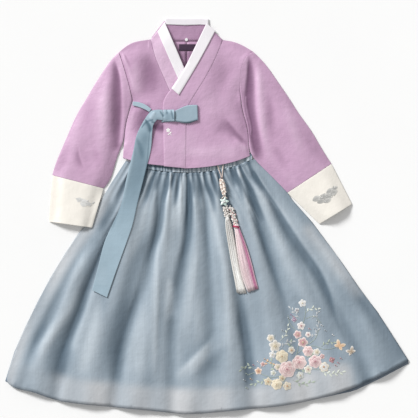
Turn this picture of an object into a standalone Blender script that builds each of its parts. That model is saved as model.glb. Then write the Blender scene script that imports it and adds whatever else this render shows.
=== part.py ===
"""A child's hanbok laid out flat on the floor, with its collar towards +Y and its front facing up.

The jacket lies over the waist of a gathered skirt. Sizes are millimetres here and metres in the meshes.
Left and right are the wearer's, so the wearer's left lies at +X. Every piece of cloth is a wall of its own,
0.3 mm clear of its neighbours; what lies on other pieces is settled on their upper faces.
"""

import math

import bmesh
import bpy
from mathutils import Vector
from mathutils.bvhtree import BVHTree

MM = 0.001
WALL = 1.2  # thickness of a piece of cloth
SEAM = 0.3  # gap between pieces
LAYER = WALL + SEAM

# Finish: name, colour, roughness
FINISHES = {
    "lilac_silk": ((0.47, 0.28, 0.43), 0.5),
    "skirt_organza": ((0.39, 0.46, 0.53), 0.45),
    "skirt_lining": ((0.55, 0.59, 0.64), 0.6),
    "blue_ribbon": ((0.40, 0.50, 0.57), 0.45),
    "white_strip": ((0.86, 0.83, 0.86), 0.6),
    "cream_cuff": ((0.90, 0.88, 0.82), 0.6),
    "dark_label": ((0.07, 0.045, 0.075), 0.6),
    "white_snap": ((0.85, 0.85, 0.85), 0.3),
    "cream_cord": ((0.72, 0.66, 0.60), 0.6),
    "jade": ((0.62, 0.74, 0.68), 0.25),
    "silver_bead": ((0.70, 0.70, 0.70), 0.3),
    "cream_silk": ((0.68, 0.66, 0.63), 0.45),
    "pink_silk": ((0.62, 0.33, 0.43), 0.45),
}

# Outlines: x and y in millimetres from the middle of the garment
LEFT_SHOULDER = ((36.6, 404.6), (62, 400), (84, 391), (105.8, 378))
LEFT_ARMHOLE = ((105.8, 378), (90, 367), (79, 343), (76, 312), (75.9, 282.9))
LEFT_SIDE = ((75.9, 282.9), (82, 241.5), (94.3, 197.8), (95.5, 160), (99.4, 138.5))
LEFT_SLEEVE_TOP = (
    (105.8, 378), (121.9, 363.4), (138, 345), (163.3, 308), (188.6, 271.4), (211.6, 234.6), (239, 198),
    (260, 161), (285.9, 120),
)
LEFT_SLEEVE_UNDER = (
    (75.9, 282.9), (82, 241.5), (94.3, 197.8), (96, 158), (102, 136.5), (140, 98), (184.2, 52.9),
)
LEFT_CUFF_END = ((333.3, 27.6), (258, -18.4))
RIGHT_SHOULDER = ((-129.7, 405), (-165.6, 400), (-186, 390), (-203, 376))
RIGHT_ARMHOLE = ((-203, 376), (-190, 336), (-179, 297), (-171.8, 263.4))
RIGHT_SIDE = ((-171.8, 263.4), (-182.9, 226.3), (-188, 204), (-190.9, 170.9), (-193.4, 133.4))
RIGHT_SLEEVE_TOP = (
    (-203, 376), (-218.5, 363.4), (-230, 345), (-255, 308), (-276, 271.4), (-299, 234.6), (-315, 198),
    (-331, 161), (-347, 124), (-355.8, 94),
)
RIGHT_SLEEVE_UNDER = (
    (-171.8, 263.4), (-182.9, 226.3), (-188, 204), (-191.5, 170.9), (-198, 154.8), (-206, 135),
    (-221, 84.4), (-237, 63),
)
RIGHT_CUFF_END = ((-363.9, -12.7), (-264, -26.9))
LEFT_HEM = ((-48.5, 109.3), (-4.6, 112.2), (39.3, 119.1), (72, 127.5), (99.4, 138.5))
RIGHT_HEM = ((-193.4, 133.4), (-160, 124), (-120, 117.5), (-60, 113.5), (-5, 115))
CENTRE_BACK = -46.7  # x of the centre back seam
BACK_NECK = 401  # y of the neck seam at the back

# Collar, left half on top and right half underneath, from the fold at the neck downwards
LEFT_COLLAR_SEAM = (
    (36.6, 404.6), (29.9, 387.3), (14, 350.5), (-3, 318.8), (-22.8, 287), (-42, 256), (-47, 238),
)
LEFT_COLLAR_INNER = (
    (-2.2, 441.6), (-27, 389.5), (-53, 337.5), (-82, 292), (-95, 277), (-102.6, 262), (-101.2, 238),
)
LEFT_STRIP_OUTER = ((19.3, 425.7), (-20, 352), (-64.4, 277.8))
LEFT_STRIP_INNER = ((-1.2, 443), (-26, 391), (-52, 338.6), (-81.7, 293))
RIGHT_COLLAR_SEAM = ((-129.2, 406), (-118, 362.7), (-100.3, 321.8), (-87.2, 291), (-80, 277))
RIGHT_COLLAR_INNER = ((-98.8, 444.6), (-76, 394), (-54, 342), (-46.5, 325))
RIGHT_STRIP_OUTER = ((-113.6, 423), (-91, 371), (-68, 318.8), (-61, 303))
RIGHT_STRIP_INNER = ((-97.5, 446.4), (-75, 394), (-52.3, 340.4), (-45, 324))
BACK_COLLAR = ((-98.5, 448), (-2.5, 448), (-1.5, 442), (34, 406), (33, 401.3), (-126.5, 401.3), (-127, 411))
BACK_STRIP = ((-95.6, 440.8), (-96.4, 455), (-50, 453), (-1.5, 455), (-0.5, 440.8), (-50, 438.2))
SNAP = (-47.2, 405.5)
SNAP_RADIUS = 3.6
LABEL = ((-64.4, 380), (-26.2, 380), (-26.2, 395), (-64.4, 395))
RIGHT_FRONT_HIDDEN = ((-82, 275), (-44, 235), (-8, 190), (-5, 115))  # its edge under the left front

OVERLAP_EDGE = ((-101.2, 238), (-100, 180), (-98.9, 114.3))  # leading edge of the left front's overlap
LEFT_FOLD = ((-2, 443), (36.6, 404.6))  # where the collar turns to the back
RIGHT_FOLD = ((-97.5, 446), (-127.5, 410))
LOW_EDGES = (LEFT_FOLD + LEFT_SHOULDER, LEFT_SIDE, RIGHT_FOLD + RIGHT_SHOULDER, RIGHT_SIDE)

# Skirt
SKIRT_LEFT = (
    (101.5, 131), (138.5, 96.2), (182.6, 51.2), (239, -10.5), (266, -48.3), (300.4, -91), (342.7, -157),
    (384.8, -210), (418.6, -262), (464, -333.5),
)
SKIRT_RIGHT = (
    (-187, 126.5), (-214.5, 84), (-236.2, 50.6), (-253, 13.8), (-285, -27.6), (-306, -55), (-361, -144),
    (-405.5, -230), (-442, -310.5), (-464, -379.5),
)
SKIRT_TOP = ((-187, 126.5), (-150, 111), (-100, 102.5), (-45, 99.5), (10, 103.5), (60, 113), (101.5, 131))
SKIRT_HEM = (
    (-464, -379.5), (-440, -396), (-398, -405), (-338, -425), (-241.5, -436.5), (-131, -447), (-44.6, -455),
    (53, -447.6), (163, -437), (246, -422), (337, -394.5), (404, -364), (464, -333.5),
)
HEM_STRIP = ((330, -404), (345, -399), (400, -373), (464, -339))  # back hem showing below the front one
SKIRT_BACK_TOP = ((30, 114.5), (-46, 109), (-120, 113))  # just below the hem of the jacket's back
WAISTBAND_TOP = 162
GATHERS = 24
GATHER_HEIGHT = 3.2
LINING_END = 0.86  # share of the skirt's length that the lining covers
LINING_INSET = 24
LINING_HEM = ((-240, -378), (-44, -396), (190, -376))

# Skirt folds, each a line down the skirt: x at the five heights below, relief and half width
FOLD_HEIGHTS = (83, -21, -147, -285, -423)
SKIRT_FOLDS = (
    # x at 83, -21, -147, -285, -423, relief, half width
    (-205, -214, -265, -318, -352, -7.0, 11),
    (-108, -110, -140, -190, -214, -7.0, 12),
    (-44, -44, -60, -85, -82, -5.0, 13),
    (-7, 2, 6, 12, -16, -4.0, 13),
    (50, 58, 64, 90, 104, -7.0, 13),
    (98, 117, 158, 200, 236, -5.0, 11),
    (138, 172, 260, 333, 385, -5.5, 13),
    (-236, -262, -325, -396, -440, -4.0, 9),
    (-216, -238, -300, -366, -398, 3.5, 14),
    (-150, -172, -198, -250, -275, 4.0, 20),
    (-88, -96, -108, -140, -165, 3.5, 16),
    (-30, -26, -25, -20, -30, 3.0, 20),
    (22, 26, 46, 52, 54, 3.5, 17),
    (78, 102, 128, 150, 170, 4.0, 20),
    (120, 148, 214, 262, 300, 3.5, 16),
    (150, 220, 325, 380, 425, 3.0, 18),
)
SKIRT_PILLOW = 7.5

# Sleeves and cuffs are flattened tubes
ACROSS_SLEEVE = (0, 0.035, 0.11, 0.22, 0.35, 0.5, 0.65, 0.78, 0.89, 0.965, 1)  # from the outer edge
ARM_ROWS = len(ACROSS_SLEEVE) - 1
SIDE_ROWS = 6
SLEEVE_ROOM = (5.5, 8.5)  # clear height inside at the shoulder and at the cuff
CUFF_ROOM = (8.5, 11)
TUBE_EDGE = 1.9  # height of the folded edges
EDGE_WALL = 2.2  # the fold is this much thicker than the cloth
CUFF_LIFT = 4.7  # the right cuff rises this much where it lies on the skirt

# Jacket folds: x and y of both ends, relief and half width
BODY_FOLDS = (
    (-202, 375, -168, 270, -2.2, 6),
    (-188, 372, -160, 292, 1.8, 8),
    (-134, 352, -138, 296, -3.2, 17),
    (-168, 248, -184, 160, 2.2, 9),
    (-146, 238, -152, 196, -3.0, 12),
    (44, 330, 34, 290, -1.6, 18),
    (40, 214, 60, 184, -2.4, 15),
    (60, 184, 92, 148, -1.8, 7),
    (20, 150, 84, 142, 1.2, 9),
)
LEFT_SLEEVE_FOLDS = (
    (98, 352, 94, 262, -3.5, 9),
    (98, 240, 112, 140, -4.5, 9),
    (122, 345, 124, 170, 2.5, 11),
    (144, 268, 148, 180, -2.0, 9),
    (196, 226, 232, 112, 1.5, 15),
)
RIGHT_SLEEVE_FOLDS = (
    (-212, 352, -206, 230, -4.5, 8),
    (-206, 230, -208, 146, -3.5, 8),
    (-232, 274, -238, 150, 2.5, 12),
    (-290, 146, -278, 104, -2.2, 6),
    (-318, 150, -330, 108, -1.8, 9),
    (-262, 250, -290, 186, -1.5, 10),
)
BODY_PILLOW = 5.5
BODY_REACH = 34  # how far in from its edges the body is full
OVER = 2.2  # the left front lies this much higher where the right one is under it
CROSSING = (-54, 328)  # where the collar's halves cross
CROSSING_RISE = 1.9

# Ribbon
TAIL_OUTER = (
    (-101, 243.6), (-126, 243), (-143, 222.4), (-155.3, 200), (-163.3, 184.2), (-167, 157.8), (-173.7, 131.3),
    (-185.6, 82.8), (-196.2, 27.6), (-216.2, -18.4), (-234.6, -57.5), (-249, -113), (-263.6, -170.2),
)
TAIL_INNER = (
    (-101, 219.5), (-116, 221), (-123, 212), (-125.5, 198), (-126.3, 184), (-128.8, 151), (-136.6, 120.8),
    (-146, 82.8), (-160, 27.6), (-170.2, -18.4), (-186, -64.4), (-208, -125), (-229.3, -187),
)
LOOP_TOP = ((-74, 246.3), (-58, 251.5), (-40, 254.6), (-24, 254.8))
LOOP_BOTTOM = ((-74, 215), (-58, 214), (-40, 216), (-22.5, 220))
LOOP_HEIGHT = 4.6
KNOT = (-100.3, -74.7)
KNOT_TOP = 247.5
KNOT_BOTTOM = 214.5
SHORT_TOP = ((-170.5, 263), (-156, 261.5), (-140, 255), (-127.5, 245.5))
SHORT_BOTTOM = ((-171, 254), (-158, 251), (-143, 245), (-132, 238.5))

# Norigae: places on the skirt
CORD_PATH = ((22.8, 121), (27, 107), (32.2, 92), (33.6, 86), (35, 92), (36, 107), (37.5, 121))
CORD_RADIUS = 1.1
BRAID = ((33.5, 82.8), (36, 70), (39.2, 50.5))
BRAID_RADII = (3.2, 6.2, 7.4, 5.2, 7.2, 7.6, 5.0, 6.6, 6.8, 4.6, 5.6, 4.4, 2.6)
STAR = (39.6, 32.6)
STAR_RADII = (12.5, 7.2)
STAR_THICKNESS = 3.6
CAPS = (
    # name, top, bottom, radii along it, finish
    ("norigae_cap_cream", (43.6, 19.6), (46.3, -1.0), (3.4, 5.8, 4.6, 5.6, 5.2, 4.0), "silver_bead"),
    (
        "norigae_cap_pink", (54.5, 20.4), (66.5, -20.5),
        (2.6, 4.8, 4.0, 5.4, 6.2, 4.6, 5.6, 6.2, 5.0, 4.6), "jade",
    ),
)
CREAM_LEFT = ((42.4, -2.3), (43.4, -28.8), (55.2, -98), (64.4, -144.2), (69.9, -178.3))
CREAM_RIGHT = ((50.8, -2.3), (56.2, -18), (62.4, -50.6), (69, -92), (76.2, -130), (90, -178.3))
PINK_LEFT = ((61, -22.5), (67, -62), (74, -103), (82.6, -143), (95.6, -176))
PINK_RIGHT = ((73, -20.5), (86.4, -58), (99, -98.9), (108.3, -135.7), (116.8, -167.4))
STRANDS_ACROSS = 13
STRAND_LAYERS = 2

UNDER = {}  # each finished piece's surface, for what lies on it


def line_through(points, fine=8):
    """A soft curve through the points, as short straight steps."""
    ends = [points[0], *points, points[-1]]
    line = []
    for nearby in zip(ends, ends[1:], ends[2:], ends[3:]):
        p, q, r, s = (Vector(point) for point in nearby)
        for step in range(fine):
            t = step / fine
            squared = (2 * p - 5 * q + 4 * r - s) * t * t
            line.append(0.5 * (2 * q + (r - p) * t + squared + (3 * q - p - 3 * r + s) * t**3))
    return [*line, Vector(points[-1])]


def stations(points, shares):
    """Points at these shares, 0 to 1, of the length of the curve through the points."""
    line = line_through(points)
    runs = [0.0]
    for start, end in zip(line, line[1:]):
        runs.append(runs[-1] + (end - start).length)
    found = []
    for share in shares:
        goal = share * runs[-1]
        k = min(max(sum(run < goal for run in runs), 1), len(line) - 1)
        span = runs[k] - runs[k - 1] or 1
        found.append(line[k - 1].lerp(line[k], (goal - runs[k - 1]) / span))
    return found


def even(count):
    return [k / count for k in range(count + 1)]


def aside(line, distance):
    """The line moved over to its left, as seen walking along it."""
    moved = []
    for k, point in enumerate(line):
        ahead = line[min(k + 1, len(line) - 1)] - line[max(k - 1, 0)]
        moved.append(point + Vector((-ahead.y, ahead.x)).normalized() * distance)
    return moved


def patch(left, right, top, bottom, across):
    """Places on a four-sided panel: one row for each station of its left and right edges."""
    rows = []
    for j, (a, b) in enumerate(zip(left, right)):
        v = j / (len(left) - 1)
        row = []
        for i, u in enumerate(across):
            corners = (left[0] * (1 - u) + right[0] * u) * (1 - v) + (left[-1] * (1 - u) + right[-1] * u) * v
            row.append(a * (1 - u) + b * u + top[i] * (1 - v) + bottom[i] * v - corners)
        rows.append(row)
    return rows


def ease(low, high, value):
    """0 below low, 1 above high, and a soft rise between them."""
    t = min(max((value - low) / (high - low), 0), 1)
    return t * t * (3 - 2 * t)


def away(x, y, line):
    """Distance from a place to a line."""
    spot = Vector((x, y))
    nearest = 1e9
    for start, end in zip(line, line[1:]):
        start, run = Vector(start), Vector(end) - Vector(start)
        t = min(max((spot - start).dot(run) / max(run.length_squared, 1e-9), 0), 1)
        nearest = min(nearest, (spot - start - run * t).length)
    return nearest


def x_on(line, y):
    """x of a line that runs up or down, at this height."""
    for (x0, y0), (x1, y1) in zip(line, line[1:]):
        if (y0 - y) * (y1 - y) <= 0 and y0 != y1:
            return x0 + (x1 - x0) * (y - y0) / (y1 - y0)
    return line[0][0] if abs(line[0][1] - y) < abs(line[-1][1] - y) else line[-1][0]


def creases(folds, x, y):
    """Relief of short folds at a place."""
    return sum(relief * math.exp(-((away(x, y, ((x0, y0), (x1, y1))) / width) ** 2))
               for x0, y0, x1, y1, relief, width in folds)


def finish_of(name):
    material = bpy.data.materials.get(name) or bpy.data.materials.new(name)
    colour, roughness = FINISHES[name]
    material.use_nodes = True
    shader = material.node_tree.nodes["Principled BSDF"]
    shader.inputs["Base Color"].default_value = (*colour, 1)
    shader.inputs["Roughness"].default_value = roughness
    return material


def add_piece(name, mesh, finish):
    """Turns a closed mesh in millimetres into a named object in metres; later pieces can lie on it."""
    bmesh.ops.recalc_face_normals(mesh, faces=mesh.faces[:])
    UNDER[name] = BVHTree.FromBMesh(mesh)
    bmesh.ops.scale(mesh, vec=(MM, MM, MM), verts=mesh.verts[:])
    data = bpy.data.meshes.new(name)
    mesh.to_mesh(data)
    mesh.free()
    data.materials.append(finish_of(finish))
    data.shade_smooth()
    data.set_sharp_from_angle(angle=math.radians(50))
    piece = bpy.data.objects.new(name, data)
    bpy.context.scene.collection.objects.link(piece)
    return piece


def sheet(name, spots, finish, upright=True, thick=WALL):
    """A wall of cloth from the places of its lower face, given in rows; upright walls keep their outline."""
    rows, columns = len(spots) - 1, len(spots[0]) - 1
    mesh = bmesh.new()
    bmesh.ops.create_grid(mesh, x_segments=columns, y_segments=rows, size=0.5)
    for point in mesh.verts:
        point.co = spots[round((0.5 - point.co.y) * rows)][round((point.co.x + 0.5) * columns)]
    mesh.normal_update()
    lift = mesh.verts.layers.float_vector.new("lift")
    for point in mesh.verts:
        slope = max(abs(point.normal.z), 0.5)
        point[lift] = Vector((0, 0, thick / slope)) if upright else point.normal * thick
    for part in bmesh.ops.extrude_face_region(mesh, geom=mesh.faces[:])["geom"]:
        if isinstance(part, bmesh.types.BMVert):
            part.co += part[lift]
    return add_piece(name, mesh, finish)


def plate(name, outline, low, high, finish):
    """A flat piece with this outline."""
    mesh = bmesh.new()
    face = mesh.faces.new([mesh.verts.new((x, y, low)) for x, y in outline])
    for part in bmesh.ops.extrude_face_region(mesh, geom=[face])["geom"]:
        if isinstance(part, bmesh.types.BMVert):
            part.co.z = high
    return add_piece(name, mesh, finish)


def tube(name, outer, inner, finish):
    """An open tube of cloth from its outer and inner rings: one grid rolled up both ways and welded."""
    rings = [*outer, *reversed(inner), outer[0]]
    around, along = len(outer[0]), len(rings) - 1
    mesh = bmesh.new()
    bmesh.ops.create_grid(mesh, x_segments=around, y_segments=along, size=0.5)
    for point in mesh.verts:
        ring = rings[round((0.5 - point.co.y) * along)]
        point.co = ring[round((point.co.x + 0.5) * around) % around]
    bmesh.ops.remove_doubles(mesh, verts=mesh.verts[:], dist=1e-4)
    return add_piece(name, mesh, finish)


def rod(name, path, radii, finish, sides=8, flat=1.0):
    """A closed round bar along a path, with a radius for each of its points."""
    mesh = bmesh.new()
    bmesh.ops.create_grid(mesh, x_segments=sides, y_segments=len(path) - 1, size=0.5)
    for point in mesh.verts:
        k = round((0.5 - point.co.y) * (len(path) - 1))
        turn = math.tau * round((point.co.x + 0.5) * sides) / sides
        ahead = (path[min(k + 1, len(path) - 1)] - path[max(k - 1, 0)]).normalized()
        level = Vector((ahead.y, -ahead.x, 0)).normalized()
        rise = level.cross(ahead)
        point.co = path[k] + radii[k] * (level * math.cos(turn) + rise * math.sin(turn) * flat)
    bmesh.ops.remove_doubles(mesh, verts=mesh.verts[:], dist=1e-3)
    bmesh.ops.holes_fill(mesh, edges=[edge for edge in mesh.edges if edge.is_boundary])
    return add_piece(name, mesh, finish)


def highest(names, x, y, reach):
    """Highest point of these pieces within reach of a place."""
    top = 0.0
    around = [(math.cos(k * math.pi / 4), math.sin(k * math.pi / 4)) for k in range(8)]
    for dx, dy in [(0, 0), *around]:
        for name in names:
            hit = UNDER[name].ray_cast(Vector((x + dx * reach, y + dy * reach, 200)), Vector((0, 0, -1)))[0]
            if hit:
                top = max(top, hit.z)
    return top


def settle(rows, names, reach, gap=SEAM, passes=12):
    """Lays places on the named pieces: each is clear of what lies within reach, and hollows are bridged."""
    need = [[highest(names, spot.x, spot.y, reach) + gap for spot in row] for row in rows]
    return bridged(rows, need, passes)


def bridged(rows, need, passes):
    """Gives places at least the height they need, and carries them straight over hollows."""
    now = [row[:] for row in need]
    for _ in range(passes):
        for j, row in enumerate(now):
            for i in range(len(row)):
                near = [now[k][i] for k in (j - 1, j + 1) if 0 <= k < len(now)]
                near += [row[k] for k in (i - 1, i + 1) if 0 <= k < len(row)]
                row[i] = max(need[j][i], sum(near) / len(near))
    return [[Vector((*spot, z)) for spot, z in zip(row, heights)] for row, heights in zip(rows, now)]


def raised(rows, height):
    """Gives places their height from a function of x and y."""
    return [[Vector((*spot, height(*spot))) for spot in row] for row in rows]


def bodice(x, y):
    """Lower face of a front that lies on the back: low at its edges, over the waistband, and full between."""
    band = LAYER * 2 * (1 - ease(WAISTBAND_TOP + 4, WAISTBAND_TOP + 28, y))
    soft = ease(0, BODY_REACH, min(away(x, y, edge) for edge in LOW_EDGES))
    return LAYER + band + soft * max(0.5, BODY_PILLOW + creases(BODY_FOLDS, x, y))


def left_front(x, y):
    """Lower face of the left front, lifted by the right one under it and where the collar crosses."""
    from_crossing = (Vector((x, y)) - Vector(CROSSING)).length
    return bodice(x, y) + OVER * (1 - ease(0, 45, x)) + CROSSING_RISE * (1 - ease(52, 96, from_crossing))


def jacket_edges():
    """The stations shared by the pieces that meet along a seam."""
    return {
        "left_arm": stations(LEFT_ARMHOLE, ACROSS_SLEEVE),
        "left_side": stations(LEFT_SIDE, even(SIDE_ROWS)),
        "left_collar": stations(LEFT_COLLAR_SEAM, even(ARM_ROWS)),
        "left_seam": stations(((-47, 238), (-48.5, 109.3)), even(SIDE_ROWS)),
        "right_arm": stations(RIGHT_ARMHOLE, ACROSS_SLEEVE),
        "right_side": stations(RIGHT_SIDE, even(SIDE_ROWS)),
        "right_collar": stations(RIGHT_COLLAR_SEAM, even(ARM_ROWS)),
        "right_hidden": stations(RIGHT_FRONT_HIDDEN, even(SIDE_ROWS)),
    }


def make_backs(edges):
    centre = CENTRE_BACK
    for side, sign, shoulder, neck in (("left", 1, LEFT_SHOULDER, 33), ("right", -1, RIGHT_SHOULDER, -127)):
        hem_end = edges[f"{side}_side"][-1]
        outline = [Vector((centre + sign * SEAM / 2, BACK_NECK)), Vector((neck, BACK_NECK))]
        outline += [Vector(spot) for spot in shoulder[1:-1]]
        outline += edges[f"{side}_arm"][:-1] + aside(edges[f"{side}_side"], -sign * SEAM)
        outline += [Vector(((hem_end.x + centre) / 2, 120)), Vector((centre + sign * SEAM / 2, 115))]
        plate(f"jacket_back_{side}", outline, 0, WALL, "lilac_silk")


def make_collar_back():
    plate("collar_back", BACK_COLLAR, 0, WALL, "lilac_silk")
    plate("collar_strip_back", BACK_STRIP, LAYER, LAYER + WALL, "white_strip")
    plate("neck_label", LABEL, LAYER, LAYER + 0.8, "dark_label")
    outline = [(SNAP[0] + SNAP_RADIUS * math.cos(turn), SNAP[1] + SNAP_RADIUS * math.sin(turn))
               for turn in (math.tau * k / 14 for k in range(14))]
    plate("neck_snap", outline, LAYER, LAYER + 1.6, "white_snap")


def make_waistbands():
    low = [Vector((spot.x, spot.y + SEAM)) for spot in stations(SKIRT_TOP, even(24))]
    inside = [spot for spot in low if RIGHT_SIDE[-1][0] + 8 < spot.x < LEFT_SIDE[-1][0] - 6]
    top = [(inside[-1].x - 3, WAISTBAND_TOP), (inside[0].x + 3, WAISTBAND_TOP)]
    plate("waistband_front", [*inside, *top], LAYER * 2, LAYER * 2 + WALL, "skirt_organza")
    tucked = [Vector((spot.x, spot.y - 4)) for spot in inside[1:-2]]
    plate("waistband_back", [*tucked, *top], LAYER, LAYER + WALL, "skirt_organza")


def make_right_front(edges):
    left = edges["right_arm"][:-1] + aside(edges["right_side"], SEAM)
    left = [spot + Vector((SEAM, 0)) for spot in left]
    right = aside(edges["right_collar"], -SEAM)[:-1] + edges["right_hidden"]
    across = even(11)
    top = stations([left[0], *RIGHT_SHOULDER[2:0:-1], right[0]], across)
    bottom = stations([left[-1], *RIGHT_HEM[1:-1], right[-1]], across)
    sheet("jacket_front_right", raised(patch(left, right, top, bottom, across), bodice), "lilac_silk")


def make_left_front(edges):
    beside = Vector((SEAM / 2, 0))
    left = aside(edges["left_collar"], SEAM)[:-1] + [spot + beside for spot in edges["left_seam"]]
    right = edges["left_arm"][:-1] + aside(edges["left_side"], -SEAM)
    right = [spot - Vector((SEAM, 0)) for spot in right]
    across = even(12)
    top = stations([left[0], *LEFT_SHOULDER[1:-1], right[0]], across)
    bottom = stations([left[-1], *LEFT_HEM[1:-1], right[-1]], across)
    sheet("jacket_front_left", raised(patch(left, right, top, bottom, across), left_front), "lilac_silk")
    right = [spot - beside for spot in edges["left_seam"]]
    left = stations(OVERLAP_EDGE, even(SIDE_ROWS))
    left[0] -= Vector((0, SEAM))
    right[0] -= Vector((0, SEAM))
    across = even(4)
    ends = [stations((left[k], right[k]), across) for k in (0, -1)]
    sheet("overlap_panel", raised(patch(left, right, *ends, across), left_front), "lilac_silk")


def make_collars(edges):
    """Each half is a band, with the stiff white strip lying on its inner part."""
    across = even(4)
    for side, seam, inner, height in (
        ("right", edges["right_collar"], RIGHT_COLLAR_INNER, bodice),
        ("left", edges["left_collar"], LEFT_COLLAR_INNER, left_front),
    ):
        inner = stations(inner, even(ARM_ROWS))
        ends = [stations((inner[k], seam[k]), across) for k in (0, -1)]
        sheet(f"collar_{side}", raised(patch(inner, seam, *ends, across), height), "lilac_silk")
    across = even(3)
    for side, outer, inner, height in (
        ("right", RIGHT_STRIP_OUTER, RIGHT_STRIP_INNER, bodice),
        ("left", LEFT_STRIP_OUTER, LEFT_STRIP_INNER, left_front),
    ):
        inner, outer = stations(inner, even(ARM_ROWS)), stations(outer, even(ARM_ROWS))
        ends = [stations((inner[k], outer[k]), across) for k in (0, -1)]
        rows = raised(patch(inner, outer, *ends, across), lambda x, y: height(x, y) + LAYER + SEAM)
        sheet(f"collar_strip_{side}", rows, "white_strip")


def ring(row, clear, lift):
    """Outer and inner ring of a flattened tube at one row of places: flat below, arched above."""
    ahead = (row[-1] - row[0]).normalized()
    rests = [lift(*spot) for spot in row]
    first, last = Vector((*row[0], TUBE_EDGE + rests[0])), Vector((*row[-1], TUBE_EDGE + rests[-1]))
    between = list(zip(row, clear, rests))[1:-1]
    lows = [Vector((*spot, rest)) for spot, _, rest in between]
    highs = [Vector((*spot, rest + max(1.0, room - 0.6 * rest) + 2 * WALL)) for spot, room, rest in between]
    outer = [first, *lows, last, *reversed(highs)]
    step = Vector((*(ahead * EDGE_WALL), 0))
    squeeze = Vector((*(ahead * WALL), 0))
    lows = [spot + Vector((0, 0, WALL)) for spot in lows]
    highs = [spot - Vector((0, 0, WALL)) for spot in highs]
    lows[0], highs[0], lows[-1], highs[-1] = (
        lows[0] + squeeze, highs[0] + squeeze, lows[-1] - squeeze, highs[-1] - squeeze)
    inner = [first + step, *lows, last - step, *reversed(highs)]
    return outer, inner


def on_floor(x, y):
    return 0.0


def make_tube(name, rows, room, folds, finish, lift=on_floor):
    """A sleeve or cuff from its rows of places; room is its clear height at the start and the end."""
    outer, inner = [], []
    edges = ([row[0] for row in rows], [row[-1] for row in rows])
    for j, row in enumerate(rows):
        full = room[0] + (room[1] - room[0]) * j / (len(rows) - 1)
        clear = []
        for spot in row:
            soft = ease(0, 30, min(away(*spot, edge) for edge in edges))
            clear.append(1.0 + soft * max(0.5, full + creases(folds, *spot)))
        for rings, found in zip((outer, inner), ring(row, clear, lift)):
            rings.append(found)
    tube(name, outer, inner, finish)


def over_skirt(x, y):
    """How far the right cuff is lifted where it lies on the skirt's edge."""
    return CUFF_LIFT * ease(-16, -2, x - x_on(SKIRT_RIGHT, y)) * (1 - ease(40, 60, y))


def make_sleeves(edges):
    down = even(12)
    for side, top_edge, under_edge, folds, cuff, lift in (
        ("left", LEFT_SLEEVE_TOP, LEFT_SLEEVE_UNDER, LEFT_SLEEVE_FOLDS, LEFT_CUFF_END, on_floor),
        ("right", RIGHT_SLEEVE_TOP, RIGHT_SLEEVE_UNDER, RIGHT_SLEEVE_FOLDS, RIGHT_CUFF_END, over_skirt),
    ):
        sign = 1 if side == "left" else -1
        outward = Vector((sign * SEAM, 0))
        start = [spot + outward for spot in edges[f"{side}_arm"]]
        outer = stations([start[0], *top_edge[1:]], down)
        inner = aside(stations([start[-1], *under_edge[1:]], down), sign * 0.8)
        start[-1] = inner[0]
        seam = stations((outer[-1], inner[-1]), ACROSS_SLEEVE)
        rows = patch(outer, inner, start, seam, ACROSS_SLEEVE)
        make_tube(f"sleeve_{side}", rows, SLEEVE_ROOM, folds, "lilac_silk")
        drop = (Vector(cuff[0]) - seam[0]).normalized() * SEAM
        seam = [spot + drop for spot in seam]
        end = stations(cuff, ACROSS_SLEEVE)
        sides = [stations((seam[k], end[k]), even(4)) for k in (0, -1)]
        rows = patch(*sides, seam, end, ACROSS_SLEEVE)
        make_tube(f"cuff_{side}", rows, CUFF_ROOM, (), "cream_cuff", lift)


def skirt_relief(x, y):
    """Relief of the long folds at a place on the skirt."""
    relief = 0.0
    for *places, height, width in SKIRT_FOLDS:
        k = min(max(sum(y < level for level in FOLD_HEIGHTS), 1), len(FOLD_HEIGHTS) - 1)
        t = (y - FOLD_HEIGHTS[k - 1]) / (FOLD_HEIGHTS[k] - FOLD_HEIGHTS[k - 1])
        x_fold = places[k - 1] + (places[k] - places[k - 1]) * t
        lean = (places[k] - places[k - 1]) / (FOLD_HEIGHTS[k] - FOLD_HEIGHTS[k - 1])
        across = (x - x_fold) / math.hypot(1, lean)
        spread = width * (0.62 + 0.5 * ease(60, -380, y) if y < 60 else 0.62)
        relief += height * math.exp(-((across / spread) ** 2)) * (0.45 + 0.55 * ease(120, 20, y))
    return relief


def gather(u, v):
    """Small gathers at the waistband, uneven in width, which run out into the long folds."""
    turn = math.tau * GATHERS * (u + 0.006 * math.sin(17 * u) + 0.004 * math.sin(41 * u + 1))
    strength = 0.75 + 0.25 * math.sin(9 * u + 2)
    return GATHER_HEIGHT * strength * math.exp(-v / 0.17) * (1 - math.cos(turn)) / 2


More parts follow.
